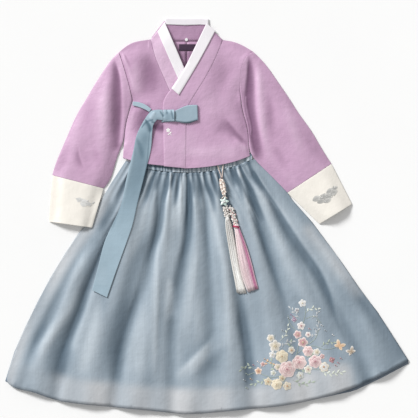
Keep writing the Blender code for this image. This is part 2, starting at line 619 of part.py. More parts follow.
def make_skirt():
    down = [0, 0.025, 0.06, 0.11, 0.17, 0.25, 0.34, 0.44, 0.55, 0.66, 0.77, 0.88, 1]
    across = even(GATHERS * 4)
    left, right = stations(SKIRT_RIGHT, down), stations(SKIRT_LEFT, down)
    rows = patch(left, right, stations(SKIRT_TOP, across), stations(SKIRT_HEM, across), across)
    sides = (line_through(SKIRT_RIGHT, 3), line_through(SKIRT_LEFT, 3))
    cuff_side = (RIGHT_SLEEVE_UNDER[-1], RIGHT_CUFF_END[1])
    spots = []
    for row, v in zip(rows, down):
        spots.append([])
        for spot, u in zip(row, across):
            inside = min(away(*spot, side) for side in sides)
            pressed = ease(20, 64, away(*spot, cuff_side))
            pleat = gather(u, v) * ease(0, 12, inside)
            body = SKIRT_PILLOW * ease(-0.03, 0.2, v) * (1 - 0.25 * ease(0.85, 1, v))
            room = ease(0, 46, inside) * pressed * max(0, body + skirt_relief(*spot))
            spots[-1].append(Vector((*spot, LAYER * (1 + ease(0, LINING_INSET, inside)) + room + pleat)))
    sheet("skirt_front", spots, "skirt_organza")

    back = stations(SKIRT_RIGHT, down) + stations(SKIRT_HEM, even(24))[1:18] + [Vector(p) for p in HEM_STRIP]
    back += stations(SKIRT_LEFT, down)[::-1][1:] + [Vector(p) for p in SKIRT_BACK_TOP]
    plate("skirt_back", back, 0, WALL, "skirt_organza")

    shares = [LINING_END * k / 8 for k in range(1, 9)]
    left = aside(stations(SKIRT_RIGHT, shares), LINING_INSET + 2)
    right = aside(stations(SKIRT_LEFT, shares), -LINING_INSET - 2)
    hem = stations((left[-1], *LINING_HEM, right[-1]), even(20))[1:-1]
    top = [spot - Vector((0, 12)) for spot in stations(SKIRT_TOP, even(12))[2:-2]]
    plate("skirt_lining", left + hem + right[::-1] + top[::-1], LAYER, LAYER + WALL, "skirt_lining")


FRONTS = ("jacket_front_right", "jacket_front_left", "overlap_panel", "collar_left", "collar_right")
BELOW_TAIL = FRONTS + ("skirt_front", "waistband_front", "sleeve_right", "cuff_right")


def make_ribbon():
    """The tied ribbon: the loop, the knot over it, the tail turning down and the short end."""
    across = even(8)
    top = stations(((-104, 243), *LOOP_TOP), across)
    bottom = stations(((-104, 214.5), *LOOP_BOTTOM), across)
    flat = [[b.lerp(a, k / 4) for a, b in zip(top, bottom)] for k in range(5)]
    lower = [list(row) for row in zip(*settle(flat, FRONTS, 6))]
    bend = []
    for share in (0.15, 0.5, 0.85):
        turn = math.pi * share
        over = Vector((math.sin(turn), 0, 1 - math.cos(turn))) * LOOP_HEIGHT / 2
        bend.append([spot + over for spot in lower[-1]])
    upper = [[spot + Vector((0, 0, LOOP_HEIGHT)) for spot in row] for row in lower[:2:-1]]
    sheet("ribbon_loop", lower + bend + upper, "blue_ribbon", upright=False)

    across = even(4)
    shares = even(8)
    ends = [[Vector((KNOT[0] + (KNOT[1] - KNOT[0]) * u, y)) for u in across] for y in (KNOT_TOP, KNOT_BOTTOM)]
    flat = [[a.lerp(b, v) for a, b in zip(*ends)] for v in shares]
    base = settle(flat, FRONTS + ("ribbon_loop",), 4, passes=4)
    for row, v in zip(base, shares):
        for spot in row:
            spot.z += 2.2 * (1 - (2 * v - 1) ** 4)
    sheet("ribbon_knot", base, "blue_ribbon")

    down = [0, 0.03, 0.06, 0.09, 0.12, 0.15, 0.18, 0.22, 0.26] + [0.26 + 0.74 * k / 18 for k in range(1, 19)]
    across = even(4)
    outer, inner = stations(TAIL_OUTER, down), stations(TAIL_INNER, down)
    ends = [stations((outer[k], inner[k]), across) for k in (0, -1)]
    rows = patch(outer, inner, *ends, across)
    names = BELOW_TAIL + ("ribbon_loop",)
    spots = settle(rows, names, 8)
    for j, row in enumerate(spots):
        for i, spot in enumerate(row):
            spot.z += 3.0 * math.exp(-((j - 2) / 3) ** 2) * math.sin(math.pi * (0.15 + 0.7 * i / 4))
    sheet("ribbon_tail", spots, "blue_ribbon")

    across, shares = even(8), even(2)
    top, bottom = stations(SHORT_TOP, across), stations(SHORT_BOTTOM, across)
    rows = [[a.lerp(b, v) for a, b in zip(top, bottom)] for v in shares]
    sheet("ribbon_short", settle(rows, FRONTS + ("sleeve_right",), 3), "blue_ribbon")


ON_SKIRT = ("skirt_front", "waistband_front")


def on_skirt(points, radii, flat=1.0, passes=20):
    """Points of a path along the middle of a rod that lies on the skirt, with hollows bridged."""
    need = []
    for spot, radius in zip(points, radii):
        need.append([highest(ON_SKIRT, *spot, radius / 2) + radius * flat + SEAM])
    return [row[0] for row in bridged([[Vector(spot)] for spot in points], need, passes)]


def make_norigae():
    radii = [CORD_RADIUS] * 23
    path = on_skirt(stations(CORD_PATH, even(22)), radii, passes=2)
    rod("norigae_cord", path, radii, "cream_cord", sides=6)
    path = on_skirt(stations(BRAID, even(len(BRAID_RADII) - 1)), BRAID_RADII, 0.55)
    rod("norigae_braid", path, BRAID_RADII, "cream_cord", sides=10, flat=0.55)

    low = highest(ON_SKIRT, *STAR, 12) + SEAM
    mesh = bmesh.new()
    outline = []
    for k in range(20):
        turn = math.tau * k / 20
        wave = (1 + math.cos(5 * turn)) / 2
        radius = STAR_RADII[1] + (STAR_RADII[0] - STAR_RADII[1]) * wave**1.5
        outline.append((STAR[0] + radius * math.sin(turn + 0.2), STAR[1] + radius * math.cos(turn + 0.2)))
    face = mesh.faces.new([mesh.verts.new((x, y, low)) for x, y in outline])
    grown = bmesh.ops.extrude_face_region(mesh, geom=[face])["geom"]
    face = next(part for part in grown if isinstance(part, bmesh.types.BMFace))
    for rise, shrink in ((STAR_THICKNESS * 0.4, 1.0), (STAR_THICKNESS, 0.72)):
        if shrink < 1:
            face = bmesh.ops.extrude_discrete_faces(mesh, faces=[face])["faces"][0]
        for point in face.verts:
            flat = Vector(STAR) + (point.co.xy - Vector(STAR)) * shrink
            point.co = (*flat, low + rise)
    add_piece("norigae_star", mesh, "jade")

    for name, top, bottom, radii, finish in CAPS:
        path = on_skirt(stations((top, bottom), even(len(radii) - 1)), radii, 0.6)
        rod(name, path, radii, finish, sides=10, flat=0.6)
    tassel("tassel_cream", CREAM_LEFT, CREAM_RIGHT, "cream_silk")
    tassel("tassel_pink", PINK_LEFT, PINK_RIGHT, "pink_silk")


def tassel(name, left_edge, right_edge, finish):
    """Strands growing out of a flat head: cells of its end, drawn out one by one and laid on the skirt."""
    down = even(14)
    left, right = stations(left_edge, down), stations(right_edge, down)
    across = even(4)
    ends = [stations((left[k], right[k]), across) for k in (0, -1)]
    bed = settle(patch(left, right, *ends, across), ON_SKIRT, 5, gap=0.5)
    mesh = bmesh.new()
    bmesh.ops.create_grid(mesh, x_segments=STRANDS_ACROSS, y_segments=STRAND_LAYERS, size=0.5)
    grown = bmesh.ops.extrude_face_region(mesh, geom=mesh.faces[:])["geom"]
    tips = [part for part in grown if isinstance(part, bmesh.types.BMFace)]
    for point in {point for face in tips for point in face.verts}:
        point.co.z = -0.07
    bmesh.ops.inset_individual(mesh, faces=tips, thickness=0.006, use_even_offset=True)
    for step, depth in enumerate((0.25, 0.47, 0.72, 0.98)):
        tips = bmesh.ops.extrude_discrete_faces(mesh, faces=tips)["faces"]
        for k, face in enumerate(tips):
            ragged = 0.018 * math.sin(7 * k) if step == 3 else 0
            for point in face.verts:
                point.co.z = -depth - ragged
    for point in mesh.verts:
        u, share = point.co.x + 0.5, min(-point.co.z, 1)
        thick = 6.4 - 2.0 * share
        height = (point.co.y + 0.5) * thick
        i, j = min(int(u * 4), 3), min(int(share * 14), 13)
        a, b = u * 4 - i, share * 14 - j
        low = bed[j][i].lerp(bed[j][i + 1], a).lerp(bed[j + 1][i].lerp(bed[j + 1][i + 1], a), b)
        point.co = low + Vector((0, 0, height * (0.72 + 0.28 * math.sin(math.pi * u))))
    return add_piece(name, mesh, finish)


def main():
    for piece in list(bpy.data.objects):
        bpy.data.objects.remove(piece)
    edges = jacket_edges()
    make_backs(edges)
    make_collar_back()
    make_waistbands()
    make_skirt()
    make_right_front(edges)
    make_left_front(edges)
    make_collars(edges)
    make_sleeves(edges)
    make_ribbon()
    make_norigae()


main()
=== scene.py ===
import math
import random

import bmesh
import bpy
import numpy as np
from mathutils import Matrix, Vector
from mathutils.bvhtree import BVHTree


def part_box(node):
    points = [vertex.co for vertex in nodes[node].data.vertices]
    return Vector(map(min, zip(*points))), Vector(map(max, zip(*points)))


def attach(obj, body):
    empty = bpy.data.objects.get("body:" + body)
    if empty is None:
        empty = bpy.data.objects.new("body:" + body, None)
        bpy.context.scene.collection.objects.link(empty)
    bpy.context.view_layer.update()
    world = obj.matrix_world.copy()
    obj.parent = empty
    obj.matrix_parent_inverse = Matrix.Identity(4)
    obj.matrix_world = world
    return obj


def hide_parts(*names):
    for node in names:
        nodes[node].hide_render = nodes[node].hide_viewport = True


# a child's hanbok laid out flat: lilac jacket over a gathered grey-blue skirt, seen from straight above
mm = 0.001
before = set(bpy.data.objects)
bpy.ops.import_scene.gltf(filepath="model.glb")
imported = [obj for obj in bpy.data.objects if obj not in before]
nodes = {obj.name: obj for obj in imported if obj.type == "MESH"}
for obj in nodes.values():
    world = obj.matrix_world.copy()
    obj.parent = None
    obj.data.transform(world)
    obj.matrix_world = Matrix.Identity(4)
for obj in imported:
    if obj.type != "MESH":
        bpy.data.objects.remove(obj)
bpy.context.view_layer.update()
print("frame loaded,", len(nodes), "nodes")


# camera, floor and light

viewLook = {"middle": (4.6, 16.1), "wide": 961.4, "high": 6000}

cameraData = bpy.data.cameras.new("overheadCamera")
cameraData.sensor_width = 36
cameraData.lens = 36 * viewLook["high"] / viewLook["wide"]
cameraData.clip_end = 40
camera = bpy.data.objects.new("overheadCamera", cameraData)
camera.location = (viewLook["middle"][0] * mm, viewLook["middle"][1] * mm, viewLook["high"] * mm)
bpy.context.scene.collection.objects.link(camera)
bpy.context.scene.camera = camera

lightLook = {"sun from": (-1.0, 1.0, 0.78), "sun": 3.75, "soft": 16, "surround": 0.48}

sunData = bpy.data.lights.new("windowLight", "SUN")
sunData.energy = lightLook["sun"]
sunData.angle = math.radians(lightLook["soft"])
sun = bpy.data.objects.new("windowLight", sunData)
sun.rotation_euler = Vector(lightLook["sun from"]).to_track_quat("Z", "Y").to_euler()
bpy.context.scene.collection.objects.link(sun)

surround = bpy.data.worlds.new("paleRoom")
surround.use_nodes = True
surround.node_tree.nodes["Background"].inputs["Color"].default_value = (1, 1, 1, 1)
surround.node_tree.nodes["Background"].inputs["Strength"].default_value = lightLook["surround"]
bpy.context.scene.world = surround
bpy.context.scene.view_settings.view_transform = "Standard"


# materials

def fill(node, **values):
    for name, value in values.items():
        node.inputs[name.replace("_", " ")].default_value = value


def add(tree, kind, place, **values):
    made = tree.nodes.new(kind)
    made.location = place
    fill(made, **values)
    return made


def factOf(tree, place, name):
    # a number or colour that the piece itself holds for each point
    made = add(tree, "ShaderNodeAttribute", place)
    made.attribute_name = name
    return made


def noise(tree, place, spot, scale, detail, rough):
    made = add(tree, "ShaderNodeTexNoise", place, Scale=scale, Detail=detail, Roughness=rough)
    tree.links.new(spot, made.inputs["Vector"])
    return made.outputs["Fac"]


def ramp(tree, place, source, stops):
    made = tree.nodes.new("ShaderNodeValToRGB")
    made.location = place
    tree.links.new(source, made.inputs["Fac"])
    for k, (where, colour) in enumerate(stops):
        stop = made.color_ramp.elements[k] if k < 2 else made.color_ramp.elements.new(where)
        stop.position = where
        stop.color = (*colour, 1) if isinstance(colour, tuple) else (colour, colour, colour, 1)
    return made.outputs["Color"]


def blend(tree, place, below, above, how="MULTIPLY", amount=1.0):
    # two colours mixed; each value may be another node's output
    made = tree.nodes.new("ShaderNodeMix")
    made.data_type = "RGBA"
    made.blend_type = how
    made.location = place
    for name, value in (("Factor", amount), ("A", below), ("B", above)):
        if isinstance(value, bpy.types.NodeSocket):
            tree.links.new(value, made.inputs[name])
        else:
            made.inputs[name].default_value = value
    return made.outputs["Result"]


def bump(tree, place, source, high, strength=1.0, below=None):
    made = add(tree, "ShaderNodeBump", place, Strength=strength, Distance=high * mm)
    tree.links.new(source, made.inputs["Height"])
    if below is not None:
        tree.links.new(below, made.inputs["Normal"])
    return made.outputs["Normal"]


def startMaterial(name):
    material = bpy.data.materials.new(name)
    material.use_nodes = True
    tree = material.node_tree
    shader = tree.nodes["Principled BSDF"]
    where = add(tree, "ShaderNodeTexCoord", (-1500, 0))
    inMillimetres = add(tree, "ShaderNodeMapping", (-1320, 0), Scale=(1000, 1000, 1000))
    tree.links.new(where.outputs["Object"], inMillimetres.inputs["Vector"])
    return material, tree, shader, inMillimetres.outputs["Vector"]


weaveLook = {"yarn bend": 0.6, "high": 0.02, "handle": 0.4}


def clothMaterial(name, look):
    # woven cloth with painted shade in its folds and painted highlight on its ridges, with slubs, a weave
    # and a soft handle
    material, tree, shader, spot = startMaterial(name)
    link = tree.links.new
    # the ramp paints shade with the look's deep colour and highlight with its pale colour, as each point's
    # painted shading says
    toRamp = add(tree, "ShaderNodeMapRange", (-1140, 420), From_Min=-1.0, From_Max=1.0)
    link(factOf(tree, (-1320, 420), "paintedShading").outputs["Fac"], toRamp.inputs["Value"])
    depth = ramp(tree, (-960, 420), toRamp.outputs["Result"],
                 [(0.0, look["deep"]), (0.5, look["colour"]), (1.0, look["pale"])])
    patchy = noise(tree, (-960, 180), spot, look["patch"], 3.0, 0.5)
    uneven = [(0.3, 1 - look["uneven"]), (0.7, 1 + 0.5 * look["uneven"])]
    patchTone = ramp(tree, (-780, 180), patchy, uneven)
    slubTurn = add(tree, "ShaderNodeMapping", (-1140, -60), Scale=look["slub"])
    fill(slubTurn, Rotation=(0, 0, look["grain"]))
    link(spot, slubTurn.inputs["Vector"])
    slub = noise(tree, (-960, -60), slubTurn.outputs["Vector"], 1.0, 4.0, 0.65)
    slubTone = ramp(tree, (-780, -60), slub, [(0.3, 1 - look["streak"]), (0.7, 1 + look["streak"])])
    colour = blend(tree, (-380, 260), blend(tree, (-560, 320), depth, patchTone), slubTone)
    if "sheer" in look:  # paler where one sheer layer lies over nothing but the floor, past the lining
        paler = factOf(tree, (-760, 640), "sheer").outputs["Fac"]
        colour = blend(tree, (-200, 420), colour, (*look["sheer"], 1), "MIX", paler)
        darker = factOf(tree, (-760, 820), "hemLine").outputs["Fac"]
        colour = blend(tree, (-20, 480), colour, (*look["hem shade"], 1), "MULTIPLY", darker)
    link(colour, shader.inputs["Base Color"])

    cross = add(tree, "ShaderNodeMath", (-580, -400))
    cross.operation = "MULTIPLY"
    for k, (down, way) in enumerate(((-300, "X"), (-520, "Y"))):
        yarn = add(tree, "ShaderNodeTexWave", (-780, down), Scale=look["weave"], Detail=1.0)
        fill(yarn, Distortion=weaveLook["yarn bend"])
        yarn.bands_direction = way
        link(spot, yarn.inputs["Vector"])
        link(yarn.outputs["Fac"], cross.inputs[k])
    rumple = noise(tree, (-780, -760), spot, look["rumple"], 4.0, 0.55)
    normal = bump(tree, (-380, -600), rumple, look["rumple high"])
    normal = bump(tree, (-200, -500), slub, look["slub high"], below=normal)
    normal = bump(tree, (-20, -400), cross.outputs["Value"], weaveLook["high"], below=normal)
    link(normal, shader.inputs["Normal"])
    fill(shader, Roughness=look["rough"], Sheen_Weight=look["sheen"], Sheen_Roughness=weaveLook["handle"],
         Specular_IOR_Level=look["gloss"])
    return material


def threadMaterial(name, look):
    # silk thread: colour from the piece itself, with fine bright and dark strands
    material, tree, shader, spot = startMaterial(name)
    dye = factOf(tree, (-780, 300), "dye").outputs["Color"]
    run = noise(tree, (-960, 0), spot, look["fine"], 3.0, 0.7)
    tone = ramp(tree, (-780, 0), run, [(0.3, 1 - look["streak"]), (0.7, 1 + look["streak"])])
    tree.links.new(blend(tree, (-400, 200), dye, tone), shader.inputs["Base Color"])
    tree.links.new(bump(tree, (-400, -200), run, look["high"], 0.7), shader.inputs["Normal"])
    fill(shader, Roughness=look["rough"], Specular_IOR_Level=0.6)
    return material


def beadMaterial(name, look):
    # polished beads, cloudy or silver-coloured, and plain smooth surfaces
    material, tree, shader, spot = startMaterial(name)
    cloud = noise(tree, (-960, 0), spot, look["cloud"], 5.0, 0.6)
    tone = ramp(tree, (-780, 0), cloud, [(0.35, look["deep"]), (0.65, look["colour"])])
    tree.links.new(tone, shader.inputs["Base Color"])
    fill(shader, Metallic=look["metal"], Roughness=look["rough"], Coat_Weight=look["coat"])
    return material


# in each cloth's look, deep is the colour of the painted shade in folds and pale the colour of the painted
# highlight on ridges
silkLook = {
    "colour": (0.555, 0.352, 0.512), "deep": (0.165, 0.075, 0.15), "pale": (0.73, 0.53, 0.685),
    "patch": 0.012, "uneven": 0.09, "slub": (0.02, 0.7, 0.02), "grain": 0.35, "streak": 0.03,
    "weave": 0.9, "rumple": 0.035, "rumple high": 2.2, "slub high": 0.10,
    "rough": 0.48, "sheen": 0.25, "gloss": 0.32,
}
organzaLook = {
    "colour": (0.285, 0.348, 0.405), "deep": (0.07, 0.11, 0.15), "pale": (0.54, 0.60, 0.65),
    "patch": 0.008, "uneven": 0.10, "slub": (0.35, 0.012, 0.02), "grain": 0.0, "streak": 0.05,
    "weave": 1.1, "rumple": 0.02, "rumple high": 3.0, "slub high": 0.25,
    "rough": 0.56, "sheen": 0.2, "gloss": 0.27, "sheer": (0.55, 0.56, 0.575),
    "hem shade": (0.62, 0.64, 0.68),
}
liningLook = dict(organzaLook, colour=(0.30, 0.35, 0.42), pale=(0.38, 0.44, 0.51), rough=0.6)
liningLook.pop("sheer")
ribbonLook = {
    "colour": (0.335, 0.445, 0.52), "deep": (0.085, 0.15, 0.20), "pale": (0.48, 0.58, 0.66),
    "patch": 0.02, "uneven": 0.06, "slub": (0.02, 0.9, 0.02), "grain": 1.35, "streak": 0.03,
    "weave": 1.0, "rumple": 0.05, "rumple high": 0.8, "slub high": 0.08,
    "rough": 0.5, "sheen": 0.2, "gloss": 0.28,
}
stripLook = {
    "colour": (0.86, 0.83, 0.86), "deep": (0.52, 0.48, 0.55), "pale": (0.93, 0.91, 0.93),
    "patch": 0.02, "uneven": 0.03, "slub": (0.4, 0.02, 0.02), "grain": 0.6, "streak": 0.015,
    "weave": 1.0, "rumple": 0.04, "rumple high": 0.5, "slub high": 0.04,
    "rough": 0.6, "sheen": 0.15, "gloss": 0.25,
}
creamLook = dict(stripLook, colour=(0.88, 0.84, 0.77), deep=(0.5, 0.45, 0.4), pale=(0.90, 0.865, 0.80))
creamLook.update({"rumple high": 1.6, "rumple": 0.03})
labelLook = dict(stripLook, colour=(0.055, 0.032, 0.06), deep=(0.02, 0.01, 0.02), pale=(0.09, 0.06, 0.095))
cordLook = {"fine": 2.2, "streak": 0.12, "high": 0.25, "rough": 0.5}
tasselLook = {"fine": 1.6, "streak": 0.10, "high": 0.15, "rough": 0.38}
stitchLook = {"fine": 3.0, "streak": 0.14, "high": 0.2, "rough": 0.45}

silk = clothMaterial("lilacSilk", silkLook)
organza = clothMaterial("greyBlueOrganza", organzaLook)
liningCloth = clothMaterial("greyBlueLining", liningLook)
ribbonCloth = clothMaterial("blueRibbon", ribbonLook)
whiteCloth = clothMaterial("whiteStrip", stripLook)
creamCloth = clothMaterial("creamCuff", creamLook)
labelCloth = clothMaterial("darkLabel", labelLook)
cordThread = threadMaterial("cordThread", cordLook)
tasselThread = threadMaterial("tasselThread", tasselLook)
stitchThread = threadMaterial("stitchThread", stitchLook)
beadLooks = {
    "jade": {"colour": (0.80, 0.88, 0.84), "deep": (0.52, 0.68, 0.62), "cloud": 0.12,
             "metal": 0.0, "rough": 0.22, "coat": 0.5},
    "pearl": {"colour": (0.90, 0.87, 0.83), "deep": (0.72, 0.67, 0.63), "cloud": 0.4,
              "metal": 0.0, "rough": 0.25, "coat": 0.5},
    "capCore": {"colour": (0.42, 0.38, 0.34), "deep": (0.20, 0.17, 0.16), "cloud": 0.3,
                "metal": 0.3, "rough": 0.4, "coat": 0.1},
    "silver": {"colour": (0.85, 0.83, 0.82), "deep": (0.6, 0.58, 0.57), "cloud": 0.3,
               "metal": 0.75, "rough": 0.28, "coat": 0.2},
    "studPlastic": {"colour": (0.85, 0.85, 0.85), "deep": (0.78, 0.78, 0.78), "cloud": 0.2,
                    "metal": 0.0, "rough": 0.3, "coat": 0.2},
    "pinkStone": {"colour": (0.78, 0.52, 0.50), "deep": (0.62, 0.34, 0.34), "cloud": 0.25,
                  "metal": 0.0, "rough": 0.3, "coat": 0.4},
    "paleFloor": {"colour": (0.925, 0.925, 0.92), "deep": (0.915, 0.915, 0.91), "cloud": 0.004,
                  "metal": 0.0, "rough": 0.8, "coat": 0.0},
}
jade, pearl, capCore, silver, studPlastic, pinkStone, floorPaint = (
    beadMaterial(name, look) for name, look in beadLooks.items()
)
print("materials made")


# making and shaping pieces

def pieceFrom(shape, name, material):
    data = bpy.data.meshes.new(name)
    shape.to_mesh(data)
    shape.free()
    data.materials.append(material)
    data.shade_smooth()
    made = bpy.data.objects.new(name, data)
    bpy.context.scene.collection.objects.link(made)
    return made


def standFor(piece, slotName, *nodeNames):
    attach(piece, "root")
    if nodeNames:
        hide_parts(*nodeNames)
    return piece


def applied(piece):
    # the mesh as its modifiers leave it
    seen = piece.evaluated_get(bpy.context.evaluated_depsgraph_get())
    data = bpy.data.meshes.new_from_object(seen)
    piece.modifiers.clear()
    piece.data = data
    return piece


def welded(nodeName):
    # a copy of a node's wall, its loose triangles joined to clean faces again
    shape = bmesh.new()
    shape.from_mesh(nodes[nodeName].data)
    bmesh.ops.remove_doubles(shape, verts=shape.verts[:], dist=0.01 * mm)
    bmesh.ops.join_triangles(shape, faces=shape.faces[:], angle_face_threshold=math.radians(50),
                             angle_shape_threshold=math.radians(90))
    return shape


def keepCorners(shape, rim, shortest=4):
    # the short upright edges at corners stay sharp when the wall is smoothed, the rims partly
    crease = shape.edges.layers.float.new("crease_edge")
    for edge in shape.edges:
        if len(edge.link_faces) != 2:
            continue
        bend = edge.calc_face_angle()
        run = edge.verts[1].co - edge.verts[0].co
        upright = run.length < shortest * mm and abs(run.z) > 0.7 * run.length
        if upright and bend > math.radians(35):
            edge[crease] = 1.0
        elif not upright and bend > math.radians(55):
            edge[crease] = rim


def smoothed(piece, rounds=1, rimCorners="ALL"):
    smooth = piece.modifiers.new("smooth", "SUBSURF")
    smooth.levels = smooth.render_levels = rounds
    smooth.boundary_smooth = rimCorners
    return applied(piece)


def softWall(nodeName, name, material, rounds=2, rim=0.75):
    # a panel of cloth: the node's wall, smoothed
    shape = welded(nodeName)
    keepCorners(shape, rim)
    return smoothed(pieceFrom(shape, name, material), rounds)


def flatWall(nodeName, name, material, step=6):
    # a flat panel, sliced both ways so that it can be shaped
    shape = welded(nodeName)
    bmesh.ops.dissolve_limit(shape, angle_limit=math.radians(1), verts=shape.verts[:], edges=shape.edges[:])
    low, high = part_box(nodeName)
    for axis in (0, 1):
        count = int((high[axis] - low[axis]) / (step * mm))
        for k in range(1, count + 1):
            place = Vector((0, 0, 0))
            place[axis] = low[axis] + (high[axis] - low[axis]) * k / (count + 1)
            facing = Vector((1, 0, 0)) if axis == 0 else Vector((0, 1, 0))
            everything = shape.verts[:] + shape.edges[:] + shape.faces[:]
            bmesh.ops.bisect_plane(shape, geom=everything, plane_co=place, plane_no=facing, dist=1e-6)
    return pieceFrom(shape, name, material)


def points(piece):
    values = np.empty(len(piece.data.vertices) * 3)
    piece.data.vertices.foreach_get("co", values)
    return values.reshape(-1, 3)


def reshape(piece, places):
    piece.data.vertices.foreach_set("co", places.ravel())
    piece.data.update()


def setFact(piece, name, values):
    # a number for each point, which materials read
    layer = piece.data.attributes.get(name) or piece.data.attributes.new(name, "FLOAT", "POINT")
    layer.data.foreach_set("value", np.asarray(values, dtype=np.float32))


def rise(low, high, value):
    t = np.clip((value - low) / (high - low), 0, 1)
    return t * t * (3 - 2 * t)


def follow(places, line):
    # for each place: distance to the line, which side of it, and how far along
    line = np.array(line, float)
    steps = np.linalg.norm(np.diff(line, axis=0), axis=1)
    runs = np.concatenate([[0], np.cumsum(steps)])
    far = np.full(len(places), 1e9)
    side = np.zeros(len(places))
    along = np.zeros(len(places))
    for k, step in enumerate(steps):
        way = (line[k + 1] - line[k]) / step
        t = np.clip((places - line[k]) @ way, 0, step)
        gap = places - line[k] - t[:, None] * way
        distance = np.hypot(gap[:, 0], gap[:, 1])
        nearer = distance < far
        far = np.where(nearer, distance, far)
        side = np.where(nearer, np.sign(way[0] * gap[:, 1] - way[1] * gap[:, 0]), side)
        along = np.where(nearer, (runs[k] + t) / runs[-1], along)
    return far, side, along


def curved(line, fine=6):
    # the line with rounded bends
    ends = [line[0], *line, line[-1]]
    found = []
    for nearby in zip(ends, ends[1:], ends[2:], ends[3:]):
        p, q, r, s = (np.array(spot, float) for spot in nearby)
        for k in range(fine):
            t = k / fine
            bend = (2 * p - 5 * q + 4 * r - s) * t * t + (3 * q - p - 3 * r + s) * t**3
            found.append(0.5 * (2 * q + (r - p) * t + bend))
    found.append(np.array(line[-1], float))
    return found


def creaseHeights(places, creases):
    # every crease: its line in millimetres, height, half width, steeper side, fade at start and end
    total = np.zeros(len(places))
    for line, high, wide, steep, fadeIn, fadeOut in creases:
        far, side, along = follow(places, curved(line))
        width = wide * (1 - steep * side) * (0.4 + 0.6 * rise(0, 0.45, along))
        ends = rise(0, max(fadeIn, 0.001), along) * rise(0, max(fadeOut, 0.001), 1 - along)
        total += high * np.exp(-((far / width) ** 2)) * ends
    return total


def neighbours(piece):
    edges = np.empty(len(piece.data.edges) * 2, dtype=np.int64)
    piece.data.edges.foreach_get("vertices", edges)
    edges = edges.reshape(-1, 2)
    return edges, np.maximum(np.bincount(edges.ravel(), minlength=len(piece.data.vertices)), 1)


def calmed(heights, edges, count, rounds):
    # heights spread to their neighbours again and again
    calm = heights.copy()
    for _ in range(rounds):
        near = np.bincount(edges[:, 0], weights=calm[edges[:, 1]], minlength=len(calm))
        near += np.bincount(edges[:, 1], weights=calm[edges[:, 0]], minlength=len(calm))
        calm = 0.5 * calm + 0.5 * near / count
    return calm


def paintShading(piece, extra, fine=(20, 1.4), broad=(140, 5.0), shift=0.0):
    # how far each point lies above or below the cloth round it, and the listed creases
    heights = points(piece)[:, 2] / mm
    edges, count = neighbours(piece)
    near = (heights - calmed(heights, edges, count, fine[0])) / fine[1]
    wide = (heights - calmed(heights, edges, count, broad[0])) / broad[1]
    # painted shade where a point lies below the cloth round it or in a crease, painted highlight where it
    # lies above
    setFact(piece, "paintedShading", np.tanh(0.8 * (near + wide + extra)) + shift)


def surfaceOf(*pieces):
    # a function that gives the height of these pieces' tops, in millimetres
    trees = []
    for piece in pieces:
        shape = bmesh.new()
        shape.from_object(piece, bpy.context.evaluated_depsgraph_get())
        trees.append(BVHTree.FromBMesh(shape))
        shape.free()

    def height(x, y):
        top = 0.0
        for tree in trees:
            hit = tree.ray_cast(Vector((x * mm, y * mm, 0.2)), Vector((0, 0, -1)))[0]
            if hit:
                top = max(top, hit.z / mm)
        return top

    return height


# the skirt's sheer front, with its gathers and long folds

